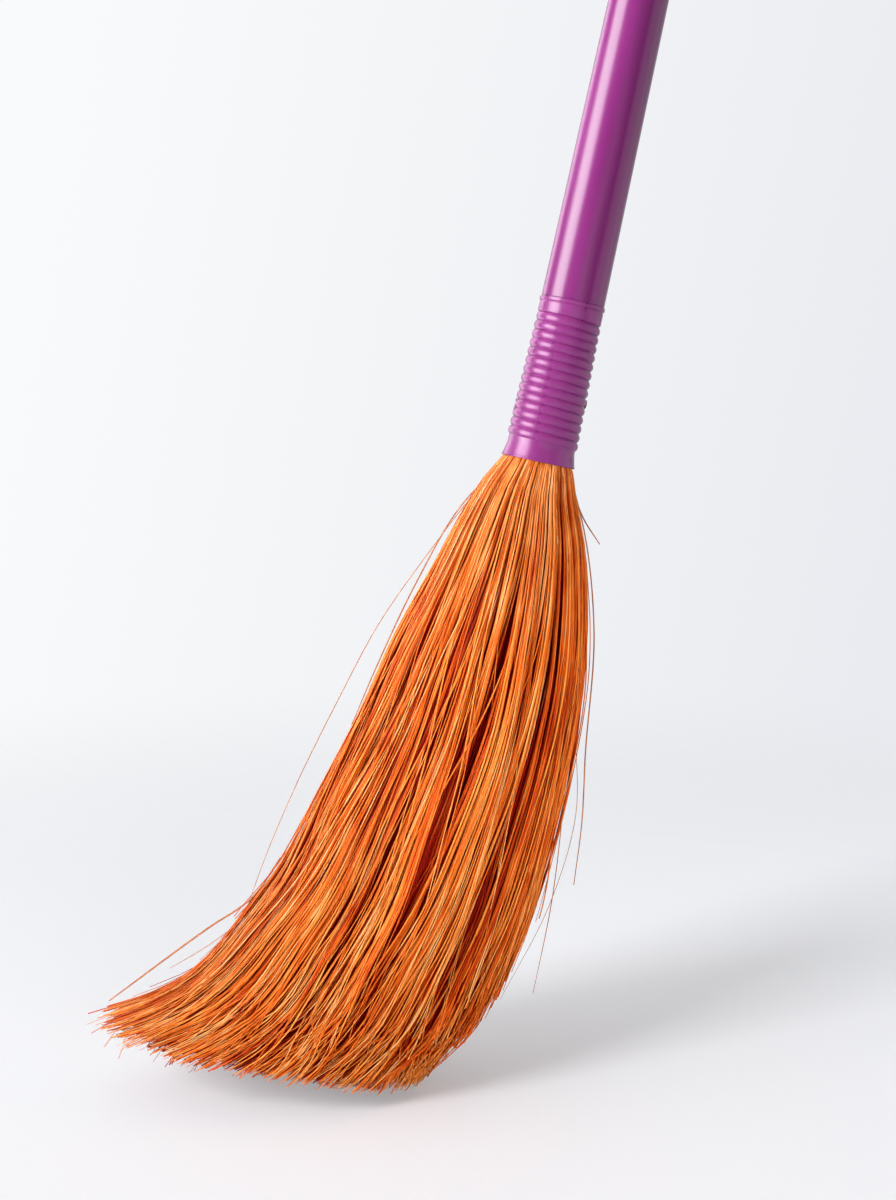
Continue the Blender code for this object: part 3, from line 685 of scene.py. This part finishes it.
def clump_paths(reach, angle, spread, loose_share):
    """Reach, angle and height of the stems of one clump, and which of them are loose.

    They fill its cell at the mouth, gather into strands and draw towards its axis. Loose ones cross over.
    """
    count = STRANDS_PER_CLUMP * STEMS_PER_STRAND
    strand = np.arange(count) // STEMS_PER_STRAND
    owners = (np.zeros(count, int), strand, np.arange(count))
    loose = rng.uniform(0, 1, (count, 1)) < loose_share
    strand_reach, strand_angle = spread_out(STRANDS_PER_CLUMP, spread)
    own_reach, own_angle = spread_out(count, [share * STRAND_FILL for share in spread])
    close = rng.uniform(*CLUMP_CLOSING)
    lean = rng.normal(0, CLUMP_LEAN) + rng.normal(0, STRAND_LEAN, (STRANDS_PER_CLUMP, 1))[strand]
    lean = lean + rng.normal(0, 1, (count, 1)) * np.where(loose, LOOSE_LEAN, STEM_LEAN)
    splay = rng.normal(0, TIP_SPLAY, (count, 1))
    flick = rng.normal(0, STEM_FLICK, (count, 1))
    flick = flick + rng.normal(0, STRAND_FLICK, (STRANDS_PER_CLUMP, 1))[strand]
    lift = rng.normal(0, CLUMP_LIFT) + np.abs(rng.normal(0, LOOSE_LIFT, (count, 1))) * loose
    turns = [sway(owner, *wave) for owner, wave in zip(owners, SIDE_SWAYS)]
    dives = [sway(owner, *wave) for owner, wave in zip(owners, DEPTH_SWAYS)]

    def course(down):
        """Reach and angle in the unit disc at each share of the way down."""
        gather = 1 - close * ease(down, end=GATHERED_AT) + REOPENING * close * ease(down, SPLAY_AT)
        tuft = ROOT_TUFT + BODY_TUFT * ease(down, end=TUFT_WIDE_AT) + END_TUFT * ease(down, TUFT_OPENS_AT)
        tip = splay * ease(down, SPLAY_AT) + flick * ease(down, FLICK_AT)
        leaned = ease(down, end=LEANING_AT)
        stem_angle = angle + strand_angle[strand] * gather + own_angle * tuft + lean * down * leaned + tip
        stem_angle = stem_angle + sum(turn(down) for turn in turns)
        stem_reach = reach + strand_reach[strand] * gather + own_reach * tuft
        stem_reach = stem_reach + lift * ease(down, end=LIFTED_AT) + TIP_LIFT * tip
        stem_reach = stem_reach + sum(dive(down) for dive in dives)
        outermost = np.where(loose, 1 + LOOSE_STAND_OFF * leaned, OUTERMOST)
        return np.clip(stem_reach, INNERMOST, outermost), stem_angle

    # Worn ends, counted up from the trimmed edge: every stem its own length, some broken short
    _, end_angle = course(np.ones((1, 1)))
    toward_toe = -reach * np.cos(end_angle[:, 0])
    lost = TOE_TIP_LOSS * ease(toward_toe, TOE_TIP_AT) - TOE_DROP * ease(toward_toe, *TOE_DROP_SPAN)
    leaving = leaving_height(course)
    ragged = rng.exponential(1, count) * np.where(leaving > 0, RAGGED_HEEL, RAGGED_END)
    ragged += rng.uniform(0, RAGGED_END, STRANDS_PER_CLUMP)[strand] + rng.exponential(RAGGED_END)
    off_axis = (strand_reach / spread[0]) ** 2 + (strand_angle / spread[1]) ** 2
    ragged += TUFT_POINT * rng.uniform(*TUFT_POINT_RANGE) * off_axis[strand, 0]
    broken = rng.uniform(0, 1, count) < BROKEN_SHARE
    ragged += broken * rng.uniform(RAGGED_END, BROKEN_LOSS, count)
    long = rng.uniform(0, 1, count) < LONG_SHARE
    ragged -= long * rng.uniform(0, LONG_GAIN, count) * ease(toward_toe, end=LONG_AT)
    height = stem_heights(np.where(leaving > 0, leaving, lost) + ragged)
    stem_reach, stem_angle = course(np.clip(1 - height / MOUTH, 0, 1))
    fray = broken * rng.uniform(*FRAY_RANGE, count) * BROKEN_FRAY
    stem_reach = stem_reach + fray[:, None] * ease(np.linspace(0, 1, STEM_STEPS), FRAY_AT)
    return (stem_reach, stem_angle, height), loose[:, 0]


def stem_radii(count, radius):
    """Thickness down each stem, thinner at the root and towards the tip; stems differ."""
    share = np.linspace(0, 1, STEM_STEPS)
    size = radius * rng.lognormal(0, STEM_RADIUS_SCATTER, count).clip(*STEM_RADIUS_LIMITS)
    return size[:, None] * np.interp(share, STEM_TAPER_AT, STEM_TAPER)


def hank_stems(clumps):
    """Polar places and tones of a hank's stems from (reach, angle, spread, loose share) clumps."""
    places, tones = [], []
    for clump in clumps:
        place, loose = clump_paths(*clump)
        places.append(place)
        clump_tone = rng.normal(TONE, CLUMP_TONE_SCATTER)
        strand_tones = rng.normal(clump_tone, STRAND_TONE_SCATTER, STRANDS_PER_CLUMP)
        stem_tones = rng.normal(0, STEM_TONE_SCATTER, len(loose)) + loose * LOOSE_TONE
        tones.append(np.repeat(strand_tones, STEMS_PER_STRAND) + stem_tones)
    reach, angle, height = (np.concatenate(parts) for parts in zip(*places))
    return reach, angle, height, np.concatenate(tones)


def envelope_cell(angle, height):
    """Row and column of the envelope's grid at these places."""
    row = (height / (MOUTH + ROOT_HEIGHT) * ENVELOPE_ROWS).astype(int).clip(0, ENVELOPE_ROWS - 1)
    column = (angle / (2 * math.pi) * ENVELOPE_COLUMNS).astype(int) % ENVELOPE_COLUMNS
    return row, column


def head_envelope(hanks):
    """How far out the head's outermost stems reach, on the grid, smoothed over a few cells."""
    grid = np.zeros((ENVELOPE_ROWS, ENVELOPE_COLUMNS))
    for reach, angle, height, _ in hanks:
        halfway = [(values[:, 1:] + values[:, :-1]) / 2 for values in (reach, angle, height)]
        for far, turn, high in ((reach, angle, height), halfway):
            np.maximum.at(grid, envelope_cell(turn, high), np.minimum(far, ENVELOPE_LIMIT))
    shifts = range(-ENVELOPE_BLUR, ENVELOPE_BLUR + 1)
    grid = sum(np.roll(grid, shift, axis=1) for shift in shifts) / len(shifts)
    padded = np.concatenate([grid[:1], grid, grid[-1:]])
    return (padded[:-2] + padded[1:-1] + padded[2:]) / 3


def hank_piece(name, stems, envelope, look):
    """One hank of stems in the place of a node of the frame."""
    reach, angle, height, tones = stems
    paths = in_head(reach, angle, height)
    _, half_width, half_depth = at_height(STEM_COURSE, height)
    # Painted shade: the further a stem lies below the outermost stems around it, the darker it is painted
    deep_share = np.interp(1 - height / MOUTH, DEEP_AT, DEEP_SHARES)
    depth = np.clip((envelope[envelope_cell(angle, height)] - reach) / deep_share, 0, 1)
    outward = np.stack([np.cos(angle) / half_width, np.sin(angle) / half_depth, np.zeros_like(angle)], -1)
    outward /= np.linalg.norm(outward, axis=2, keepdims=True)
    mesh = fibre_mesh(name + "_stems", paths, stem_radii(len(paths), STEM_RADIUS), tones, depth, outward)
    piece(name + "_stems", mesh, look, "grass_fibre", name)


def ring_clumps(ring, index):
    """The clumps of one outer or inner hank: rows and columns over its cell, a little out of line."""
    outer = ring == "outer"
    count, low, high = (OUTER_HANKS, SPLIT_SHARE, 1.0) if outer else (INNER_HANKS, CORE_SHARE, SPLIT_SHARE)
    rows, columns = OUTER_GRID if outer else INNER_GRID
    width = 2 * math.pi / count
    deep, wide = (high - low) / rows, width / columns
    clumps = []
    for row in range(rows):
        for column in range(columns):
            reach = low + deep * (row + 0.5) + rng.normal(0, CLUMP_OUT_OF_LINE) * deep
            angle = width * (index - 0.5) + wide * (column + rng.uniform(*CLUMP_IN_COLUMN))
            on_top = outer and row == rows - 1
            # More stems have sprung loose on the toe's side
            loose = LOOSE_SHARE * (LOOSE_MIDDLE - LOOSE_SWING * math.cos(angle) if on_top else LOOSE_UNDER)
            clumps.append((reach, angle, (deep * CLUMP_FILL[0], wide * CLUMP_FILL[1]), loose))
    return clumps


def add_fibre_head():
    """All hanks of stems in the places of the frame's hanks."""
    hanks = {}
    for ring, count in (("outer", OUTER_HANKS), ("inner", INNER_HANKS)):
        for index in range(count):
            hanks[ring + "_hank_" + str(index + 1).zfill(2)] = hank_stems(ring_clumps(ring, index))
    middle = CORE_SHARE * CORE_MIDDLE
    spread = (CORE_SHARE * CORE_FILL[0], CORE_FILL[1])
    clumps = [(middle, 2 * math.pi * i / CORE_CLUMPS, spread, 0.0) for i in range(CORE_CLUMPS)]
    hanks["core_hank"] = hank_stems(clumps)
    envelope = head_envelope(hanks.values())
    look = dyed_grass()
    for name, stems in hanks.items():
        hank_piece(name, stems, envelope, look)


def add_strays():
    """Single stems that have sprung clear of the head."""
    paths = []
    for points in STRAYS:
        points = np.array(points, float) * MM
        steps = np.linalg.norm(np.diff(points, axis=0), axis=1)
        travelled = np.concatenate([[0], np.cumsum(steps)])
        at = np.linspace(0, travelled[-1], STEM_STEPS)
        across, up = (smooth_through(at, travelled, values) for values in points.T)
        deep = rng.normal(0, STRAY_BOW) * np.sin(np.linspace(0, math.pi, STEM_STEPS))
        paths.append(np.stack([across, deep, up], -1))
    paths = np.array(paths)
    nothing = np.zeros_like(paths)
    radii = stem_radii(len(paths), STRAY_RADIUS)
    mesh = fibre_mesh("stray_stems", paths, radii, nothing[:, 0, 0], nothing[..., 0], nothing)
    piece("stray_stems", mesh, dry_grass(), "grass_fibre")


def collar_rows():
    """The collar's whole skin as rows of (height, radius) over the columns of one closed turn."""
    travelled = np.arange(TURN_STEPS + 1) / TURN_STEPS
    low = MOUTH_BAND_HEIGHT
    high = COLLAR_LENGTH - TOP_BAND_HEIGHT
    pitch = (high - low) / (RIB_TURNS + 1)
    phases = 0.5 - 0.5 * np.cos(math.pi * np.arange(RIB_STEPS + 1) / RIB_STEPS)

    def root(height):
        share = (height - low) / (high - low)
        return RIB_ROOT_RADIUS_LOW + (RIB_ROOT_RADIUS_HIGH - RIB_ROOT_RADIUS_LOW) * share

    def flat(height, radius):
        ones = np.ones_like(travelled)
        return height * ones, radius * ones

    rows = []
    # Mouth band, flared, and the wedge between it and the first turn of the rib
    edge = rounded((MOUTH_RADIUS, 0), (MOUTH_BORE_RADIUS, 0), (MOUTH_RADIUS, low), MOUTH_EDGE)
    rows += [flat(h, r) for r, h in edge]
    for share in np.linspace(FLARE_START, 1, FLARE_ROWS):
        flare = MOUTH_RADIUS + (root(low) - MOUTH_RADIUS) * share ** FLARE_CURVE
        rows.append(flat(low * share, flare))
    for phase in phases[1:]:
        height = low + pitch * phase * travelled
        rows.append((height, root(height)))
    # The rib, wound as a helix
    for turn in range(RIB_TURNS):
        for phase in phases[:-1] if turn < RIB_TURNS - 1 else phases:
            height = low + pitch * (turn + travelled + phase)
            along = turn + travelled
            fade = ease(along, end=RIB_RUNOUT_TURNS) * ease(RIB_TURNS - along, end=RIB_RUNOUT_TURNS)
            rise = math.sin(math.pi * phase) ** RIB_FULLNESS
            rows.append((height, root(height) + RIB_HEIGHT * rise * fade))
    # The wedge up to the top band, whose foot rises out of the last groove
    for phase in phases[1:]:
        height = low + pitch * (RIB_TURNS + travelled + phase * (1 - travelled))
        foot = ease(travelled, end=RIB_RUNOUT_TURNS) * ease(phase, end=BAND_FOOT_SHARE)
        rows.append((height, root(height) + (TOP_BAND_RADIUS - root(height)) * foot))
    # The top band with its lip, the socket, the ledge and the chamber down to the mouth
    lip = COLLAR_LENGTH - LIP_HEIGHT
    bore = NECK_RADIUS + FIT_GAP
    top_and_bore = softened([
        (TOP_BAND_RADIUS, high + BAND_START_TURNS * pitch), (TOP_BAND_RADIUS, lip - LIP_SLOPE),
        (TOP_BAND_RADIUS - LIP_GROOVE, lip), (LIP_RADIUS, lip + LIP_SLOPE),
        (LIP_RADIUS, COLLAR_LENGTH), (bore, COLLAR_LENGTH), (bore, LEDGE_TOP), (LEDGE_RADIUS, LEDGE_TOP),
        (LEDGE_RADIUS, LEDGE_BOTTOM), (CHAMBER_RADIUS, LEDGE_BOTTOM), (CHAMBER_RADIUS, THROAT_HEIGHT),
        (MOUTH_BORE_RADIUS, MOUTH_EDGE), (MOUTH_BORE_RADIUS + MOUTH_EDGE, 0),
    ], MOUTH_EDGE)
    rows += [flat(h, r) for r, h in top_and_bore]
    return rows


def add_collar():
    """Ribbed collar in place of the frame's node."""
    look = moulded_plastic("moulded_polypropylene_sleeve", "822C72", "8C347C", roughness=0.28)
    angles = RIB_START - 2 * math.pi * np.arange(TURN_STEPS + 1) / TURN_STEPS
    points = []
    for heights, radii in collar_rows():
        points.append(np.stack([radii * np.cos(angles), radii * np.sin(angles), MOUTH + heights], -1))
    mesh = grid_mesh("collar_skin", np.array(points), close_rows=True, sharp_angle=55)
    piece("collar_skin", mesh, look, "collar_plastic", "ribbed_collar")


def add_tube(look):
    """Tapered handle tube with softly rounded edges."""
    base = COLLAR_TOP + SEAM
    neck_bore = NECK_RADIUS - TUBE_WALL
    profile = softened([
        (NECK_RADIUS, TUBE_LOW.z), (NECK_RADIUS, base), (TUBE_BASE_RADIUS, base),
        (TUBE_TOP_RADIUS, TUBE_HIGH.z), (TUBE_TOP_RADIUS - TUBE_WALL, TUBE_HIGH.z),
        (TUBE_BASE_RADIUS - TUBE_WALL, base + 2 * NECK_SHOULDER),
        (neck_bore, base + NECK_SHOULDER), (neck_bore, TUBE_LOW.z),
    ], TUBE_EDGE, closed=True)
    mesh = grid_mesh("tube_skin", turned_points(profile, closed=True), sharp_angle=50)
    piece("tube_skin", mesh, look, "handle_plastic", "handle_tube")


def add_cap(look):
    """Hanger cap: turned plug, flange and dome with rounded edges, and an eye with rounded edges on top."""
    base = CAP_LOW.z + CAP_PLUG_LENGTH
    plug = TUBE_TOP_RADIUS - TUBE_WALL - FIT_GAP
    flange = FIT_GAP + FLANGE_HEIGHT
    shoulder = flange + DOME_HEIGHT * DOME_SHOULDER_SHARE
    profile = softened([
        (0, -CAP_PLUG_LENGTH), (plug, -CAP_PLUG_LENGTH), (plug, FIT_GAP), (TUBE_TOP_RADIUS, FIT_GAP),
        (TUBE_TOP_RADIUS, flange), (DOME_RADIUS + DOME_SHOULDER, shoulder),
        (DOME_RADIUS, flange + DOME_HEIGHT), (0, flange + DOME_HEIGHT),
    ], CAP_EDGE)
    mesh = grid_mesh("cap_base", turned_points(profile, base=base), sharp_angle=60)
    piece("cap_base", mesh, look, "handle_plastic", "hanger_cap")
    half = TAB_THICKNESS / 2
    rows = []
    for angle in np.linspace(0, 2 * math.pi, TAB_RAYS + 1):
        across, up = math.cos(angle), math.sin(angle)
        reach = TAB_HALF_WIDTH
        if up < 0:
            reach = min(TAB_HALF_WIDTH / max(abs(across), TAB_HALF_WIDTH / TAB_DROP), TAB_DROP / abs(up))
        section = [(EYE_RADIUS, -half), (EYE_RADIUS, half), (reach, half), (reach, -half)]
        section = softened(section, TAB_EDGE, closed=True)
        section.append(section[0])
        rows.append([(r * across, y, CAP_HIGH.z - TAB_HALF_WIDTH + r * up) for r, y in section])
    piece("cap_eye", grid_mesh("cap_eye", np.array(rows), sharp_angle=60), look, "handle_plastic")


def add_nail(name, side, look):
    """A nail through the collar, its head slightly domed, its point inwards; side is -1 at the toe."""
    low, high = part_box(name)
    head = (high.z - low.z) / 2
    length = high.x - low.x
    profile = softened([
        (0, 0), (head * NAIL_CROWN_SHARE, NAIL_CROWN), (head, NAIL_RIM), (head, NAIL_HEAD_THICKNESS),
        (NAIL_SHANK_RADIUS, NAIL_HEAD_THICKNESS), (NAIL_SHANK_RADIUS, length - NAIL_POINT), (0, length),
    ], NAIL_EDGE)
    mesh = grid_mesh(name + "_skin", turned_points(profile, steps=NAIL_STEPS), sharp_angle=45)
    outside = Vector((high.x if side > 0 else low.x, (low.y + high.y) / 2, (low.z + high.z) / 2))
    mesh.transform(Matrix.Translation(outside) @ Matrix.Rotation(-side * math.pi / 2, 4, "Y"))
    piece(name + "_skin", mesh, look, "nail_steel", name)


def add_fittings():
    """The two nails, and the finish of the peg, its pin and the wires, which keep their own shapes."""
    zinc_plated = steel("zinc_plated_steel", "9C8C9E", "B8AABA", roughness=0.45, grain_size=0.8 * MM)
    blued = steel("blued_steel", "4A3234", "6B4E50", roughness=0.42, grain_size=0.8 * MM)
    add_nail("collar_nail_left", -1, zinc_plated)
    add_nail("collar_nail_right", 1, blued)
    looks = {
        "peg_pin": steel("drawn_steel", "8C8E92", "B0B2B5", roughness=0.35, grain_size=0.6 * MM),
        "binding_wire_1": steel("galvanised_wire", "A9ADB1", "C9CCCF", roughness=0.38, grain_size=1.5 * MM),
        "root_peg": turned_softwood(),
    }
    looks["binding_wire_2"] = looks["binding_wire_3"] = looks["binding_wire_1"]
    for name, look in looks.items():
        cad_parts[name].data.materials.clear()
        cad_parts[name].data.materials.append(look)


def picture_axes():
    """The picture's right, its up and the way the camera looks."""
    forward = Vector((0, math.cos(CAMERA_PITCH), -math.sin(CAMERA_PITCH)))
    level = Vector((1, 0, 0))
    upright = level.cross(forward)
    right = math.cos(CAMERA_ROLL) * level + math.sin(CAMERA_ROLL) * upright
    up = math.cos(CAMERA_ROLL) * upright - math.sin(CAMERA_ROLL) * level
    return right, up, forward


def studio_axes():
    """The studio as a matrix: its X runs to the picture's right, its Z stands square on the floor."""
    right, up, forward = picture_axes()
    upright = math.cos(FLOOR_PITCH) * up - math.sin(FLOOR_PITCH) * forward
    return Matrix((right, upright.cross(right), upright)).transposed()


def add_camera():
    """Camera at the picture's angle."""
    lens = bpy.data.cameras.new("camera")
    lens.lens = CAMERA_LENS
    lens.sensor_width = CAMERA_SENSOR
    right, up, forward = picture_axes()
    made = bpy.data.objects.new("camera", lens)
    axes = Matrix((right, up, -forward)).transposed().to_4x4()
    made.matrix_world = Matrix.Translation(PICTURE_CENTRE - CAMERA_DISTANCE * forward) @ axes
    bpy.context.scene.collection.objects.link(made)
    bpy.context.scene.camera = made


def softbox(name, azimuth, elevation, distance, size, power, place=LIT_PLACE, mirrored=False, spread=180):
    """A soft light that looks at a place, either only mirrored in glossy skins or only lighting matt ones.

    Its angles are degrees: azimuth from the front towards the toe, elevation from the studio's floor.
    """
    turn, rise = math.radians(azimuth), math.radians(elevation)
    away = Vector((-math.sin(turn) * math.cos(rise), -math.cos(turn) * math.cos(rise), math.sin(rise)))
    away = studio_axes() @ away
    data = bpy.data.lights.new(name, "AREA")
    data.shape = "RECTANGLE"
    data.size, data.size_y = size
    data.energy = power
    data.spread = math.radians(spread)
    made = bpy.data.objects.new(name, data)
    facing = away.to_track_quat("Z", "Y").to_matrix().to_4x4()
    made.matrix_world = Matrix.Translation(place + away * distance) @ facing
    made.visible_camera = False
    made.visible_glossy = mirrored
    made.visible_diffuse = not mirrored
    bpy.context.scene.collection.objects.link(made)


def add_lights():
    """A far key light, soft fills, and what the plastic mirrors: one bright box and two dim cards."""
    softbox("key_box", azimuth=44, elevation=33, distance=20, size=(6.8, 6.8), power=2300)
    softbox("toe_box", azimuth=92, elevation=8, distance=1.3, size=(0.9, 0.9), power=0.9, spread=70)
    softbox("heel_box", azimuth=-20, elevation=4, distance=1.3, size=(0.9, 0.5), power=1.5,
            place=HEEL_PLACE, spread=60)
    softbox("handle_box", azimuth=68, elevation=10, distance=1.2, size=(0.4, 0.6), power=1.5,
            place=HANDLE_PLACE, spread=40)
    softbox("streak_box", azimuth=66, elevation=19, distance=1.5, size=(1.1, 2.0), power=76, mirrored=True)
    softbox("heel_card", azimuth=-88, elevation=-5, distance=1.5, size=(1.5, 2.0), power=9, mirrored=True)
    softbox("rim_card", azimuth=138, elevation=10, distance=1.5, size=(0.7, 2.0), power=11, mirrored=True)


def add_world():
    """Pale studio: soft light that is stronger from the toe's side, and a pale backdrop."""
    world = bpy.data.worlds.new("studio")
    bpy.context.scene.world = world
    world.use_nodes = True
    tree = world.node_tree
    tree.nodes.clear()
    path = node(tree, "ShaderNodeLightPath")
    place = node(tree, "ShaderNodeTexCoord").outputs["Generated"]
    sides = node(tree, "ShaderNodeSeparateXYZ", {0: place})
    level = node(tree, "ShaderNodeMapRange", {
        "Value": sides.outputs["X"], "From Min": -0.9, "From Max": 0.7, "To Min": 0.44, "To Max": 0.10})
    behind = node(tree, "ShaderNodeMapRange", {
        "Value": sides.outputs["Y"], "From Min": 0.1, "From Max": 0.9, "To Min": 0.0, "To Max": 0.25})
    level = node(tree, "ShaderNodeMath", {0: level.outputs[0], 1: behind.outputs[0]}, operation="ADD")
    room = node(tree, "ShaderNodeBackground", {"Color": linear("FBFBFD"), "Strength": level.outputs[0]})
    # The backdrop is a little greyer towards the heel's side, a painted falloff of the light from the toe's
    # side
    across = node(tree, "ShaderNodeMapRange", {
        "Value": sides.outputs["X"], "From Min": -0.22, "From Max": 0.20})
    backdrop = node(tree, "ShaderNodeValToRGB", {"Fac": across.outputs[0]}, stops=(
        (0.0, "F9FAFB"), (1.0, "EAEBF0")))
    backdrop = node(tree, "ShaderNodeBackground", {"Color": backdrop.outputs[0], "Strength": 1.0})
    # In the plastic's gloss: dark towards the front, pale behind
    mirror = node(tree, "ShaderNodeValToRGB", {"Fac": sides.outputs["Y"]}, stops=(
        (0.20, "303036"), (0.60, "E8E8EC")))
    mirror = node(tree, "ShaderNodeBackground", {"Color": mirror.outputs[0], "Strength": 0.8})
    seen = node(tree, "ShaderNodeMixShader", {
        0: path.outputs["Is Camera Ray"], 1: room.outputs[0], 2: backdrop.outputs[0]})
    seen = node(tree, "ShaderNodeMixShader", {
        0: path.outputs["Is Glossy Ray"], 1: seen.outputs[0], 2: mirror.outputs[0]})
    node(tree, "ShaderNodeOutputWorld", {"Surface": seen.outputs[0]})


def add_floor():
    """Pale seamless floor that fades into the backdrop, so that only the shadow shows."""
    bm = bmesh.new()
    bmesh.ops.create_circle(bm, cap_ends=True, cap_tris=True, radius=4, segments=64)
    mesh = bpy.data.meshes.new("floor")
    bm.to_mesh(mesh)
    bm.free()
    made, tree, shader = finish_named("pale_seamless_paper")
    place = node(tree, "ShaderNodeTexCoord").outputs["Object"]
    sides = node(tree, "ShaderNodeSeparateXYZ", {0: place})
    # Painted falloff of light: the paper is a little paler towards the toe's side
    across = node(tree, "ShaderNodeMapRange", {
        "Value": sides.outputs["X"], "From Min": -0.5, "From Max": 0.6})
    colour = node(tree, "ShaderNodeValToRGB", {"Fac": across.outputs[0]}, stops=(
        (0.0, "EEF1F5"), (1.0, "EBECF1")))
    tree.links.new(colour.outputs[0], shader.inputs["Base Color"])
    shader.inputs["Roughness"].default_value = 0.9
    shader.inputs["Specular IOR Level"].default_value = 0.1
    # The camera sees the paper a little brighter than the light alone makes it, and more so towards the
    # toe's side: a painted falloff of light
    path = node(tree, "ShaderNodeLightPath")
    lift = node(tree, "ShaderNodeMapRange", {"Value": across.outputs[0], "To Min": 0.275, "To Max": 0.225})
    lift = node(tree, "ShaderNodeMath", {0: lift.outputs[0], 1: path.outputs["Is Camera Ray"]},
                operation="MULTIPLY")
    tree.links.new(lift.outputs[0], shader.inputs["Emission Strength"])
    shader.inputs["Emission Color"].default_value = linear("FFFFFF")
    reach = node(tree, "ShaderNodeVectorMath", {0: place}, operation="LENGTH")
    fade = node(tree, "ShaderNodeMapRange", {
        "Value": reach.outputs["Value"], "From Min": 0.35, "From Max": 1.1},
        interpolation_type="SMOOTHSTEP")
    clear = node(tree, "ShaderNodeBsdfTransparent")
    mixed = node(tree, "ShaderNodeMixShader", {
        0: fade.outputs[0], 1: shader.outputs[0], 2: clear.outputs[0]})
    tree.links.new(mixed.outputs[0], tree.nodes["Material Output"].inputs["Surface"])
    mesh.materials.append(made)
    floor = bpy.data.objects.new("floor", mesh)
    axes = studio_axes()
    floor.matrix_world = Matrix.Translation(STANDING_PLACE - axes.col[2] * FLOOR_GAP) @ axes.to_4x4()
    bpy.context.scene.collection.objects.link(floor)


def main():
    """Builds the whole picture."""
    bpy.context.scene.view_settings.view_transform = "Standard"
    add_camera()
    add_fibre_head()
    add_strays()
    add_collar()
    handle = moulded_plastic("moulded_polypropylene", "782268", "822972", roughness=0.24)
    add_tube(handle)
    add_cap(handle)
    add_fittings()
    add_lights()
    add_world()
    add_floor()


main()
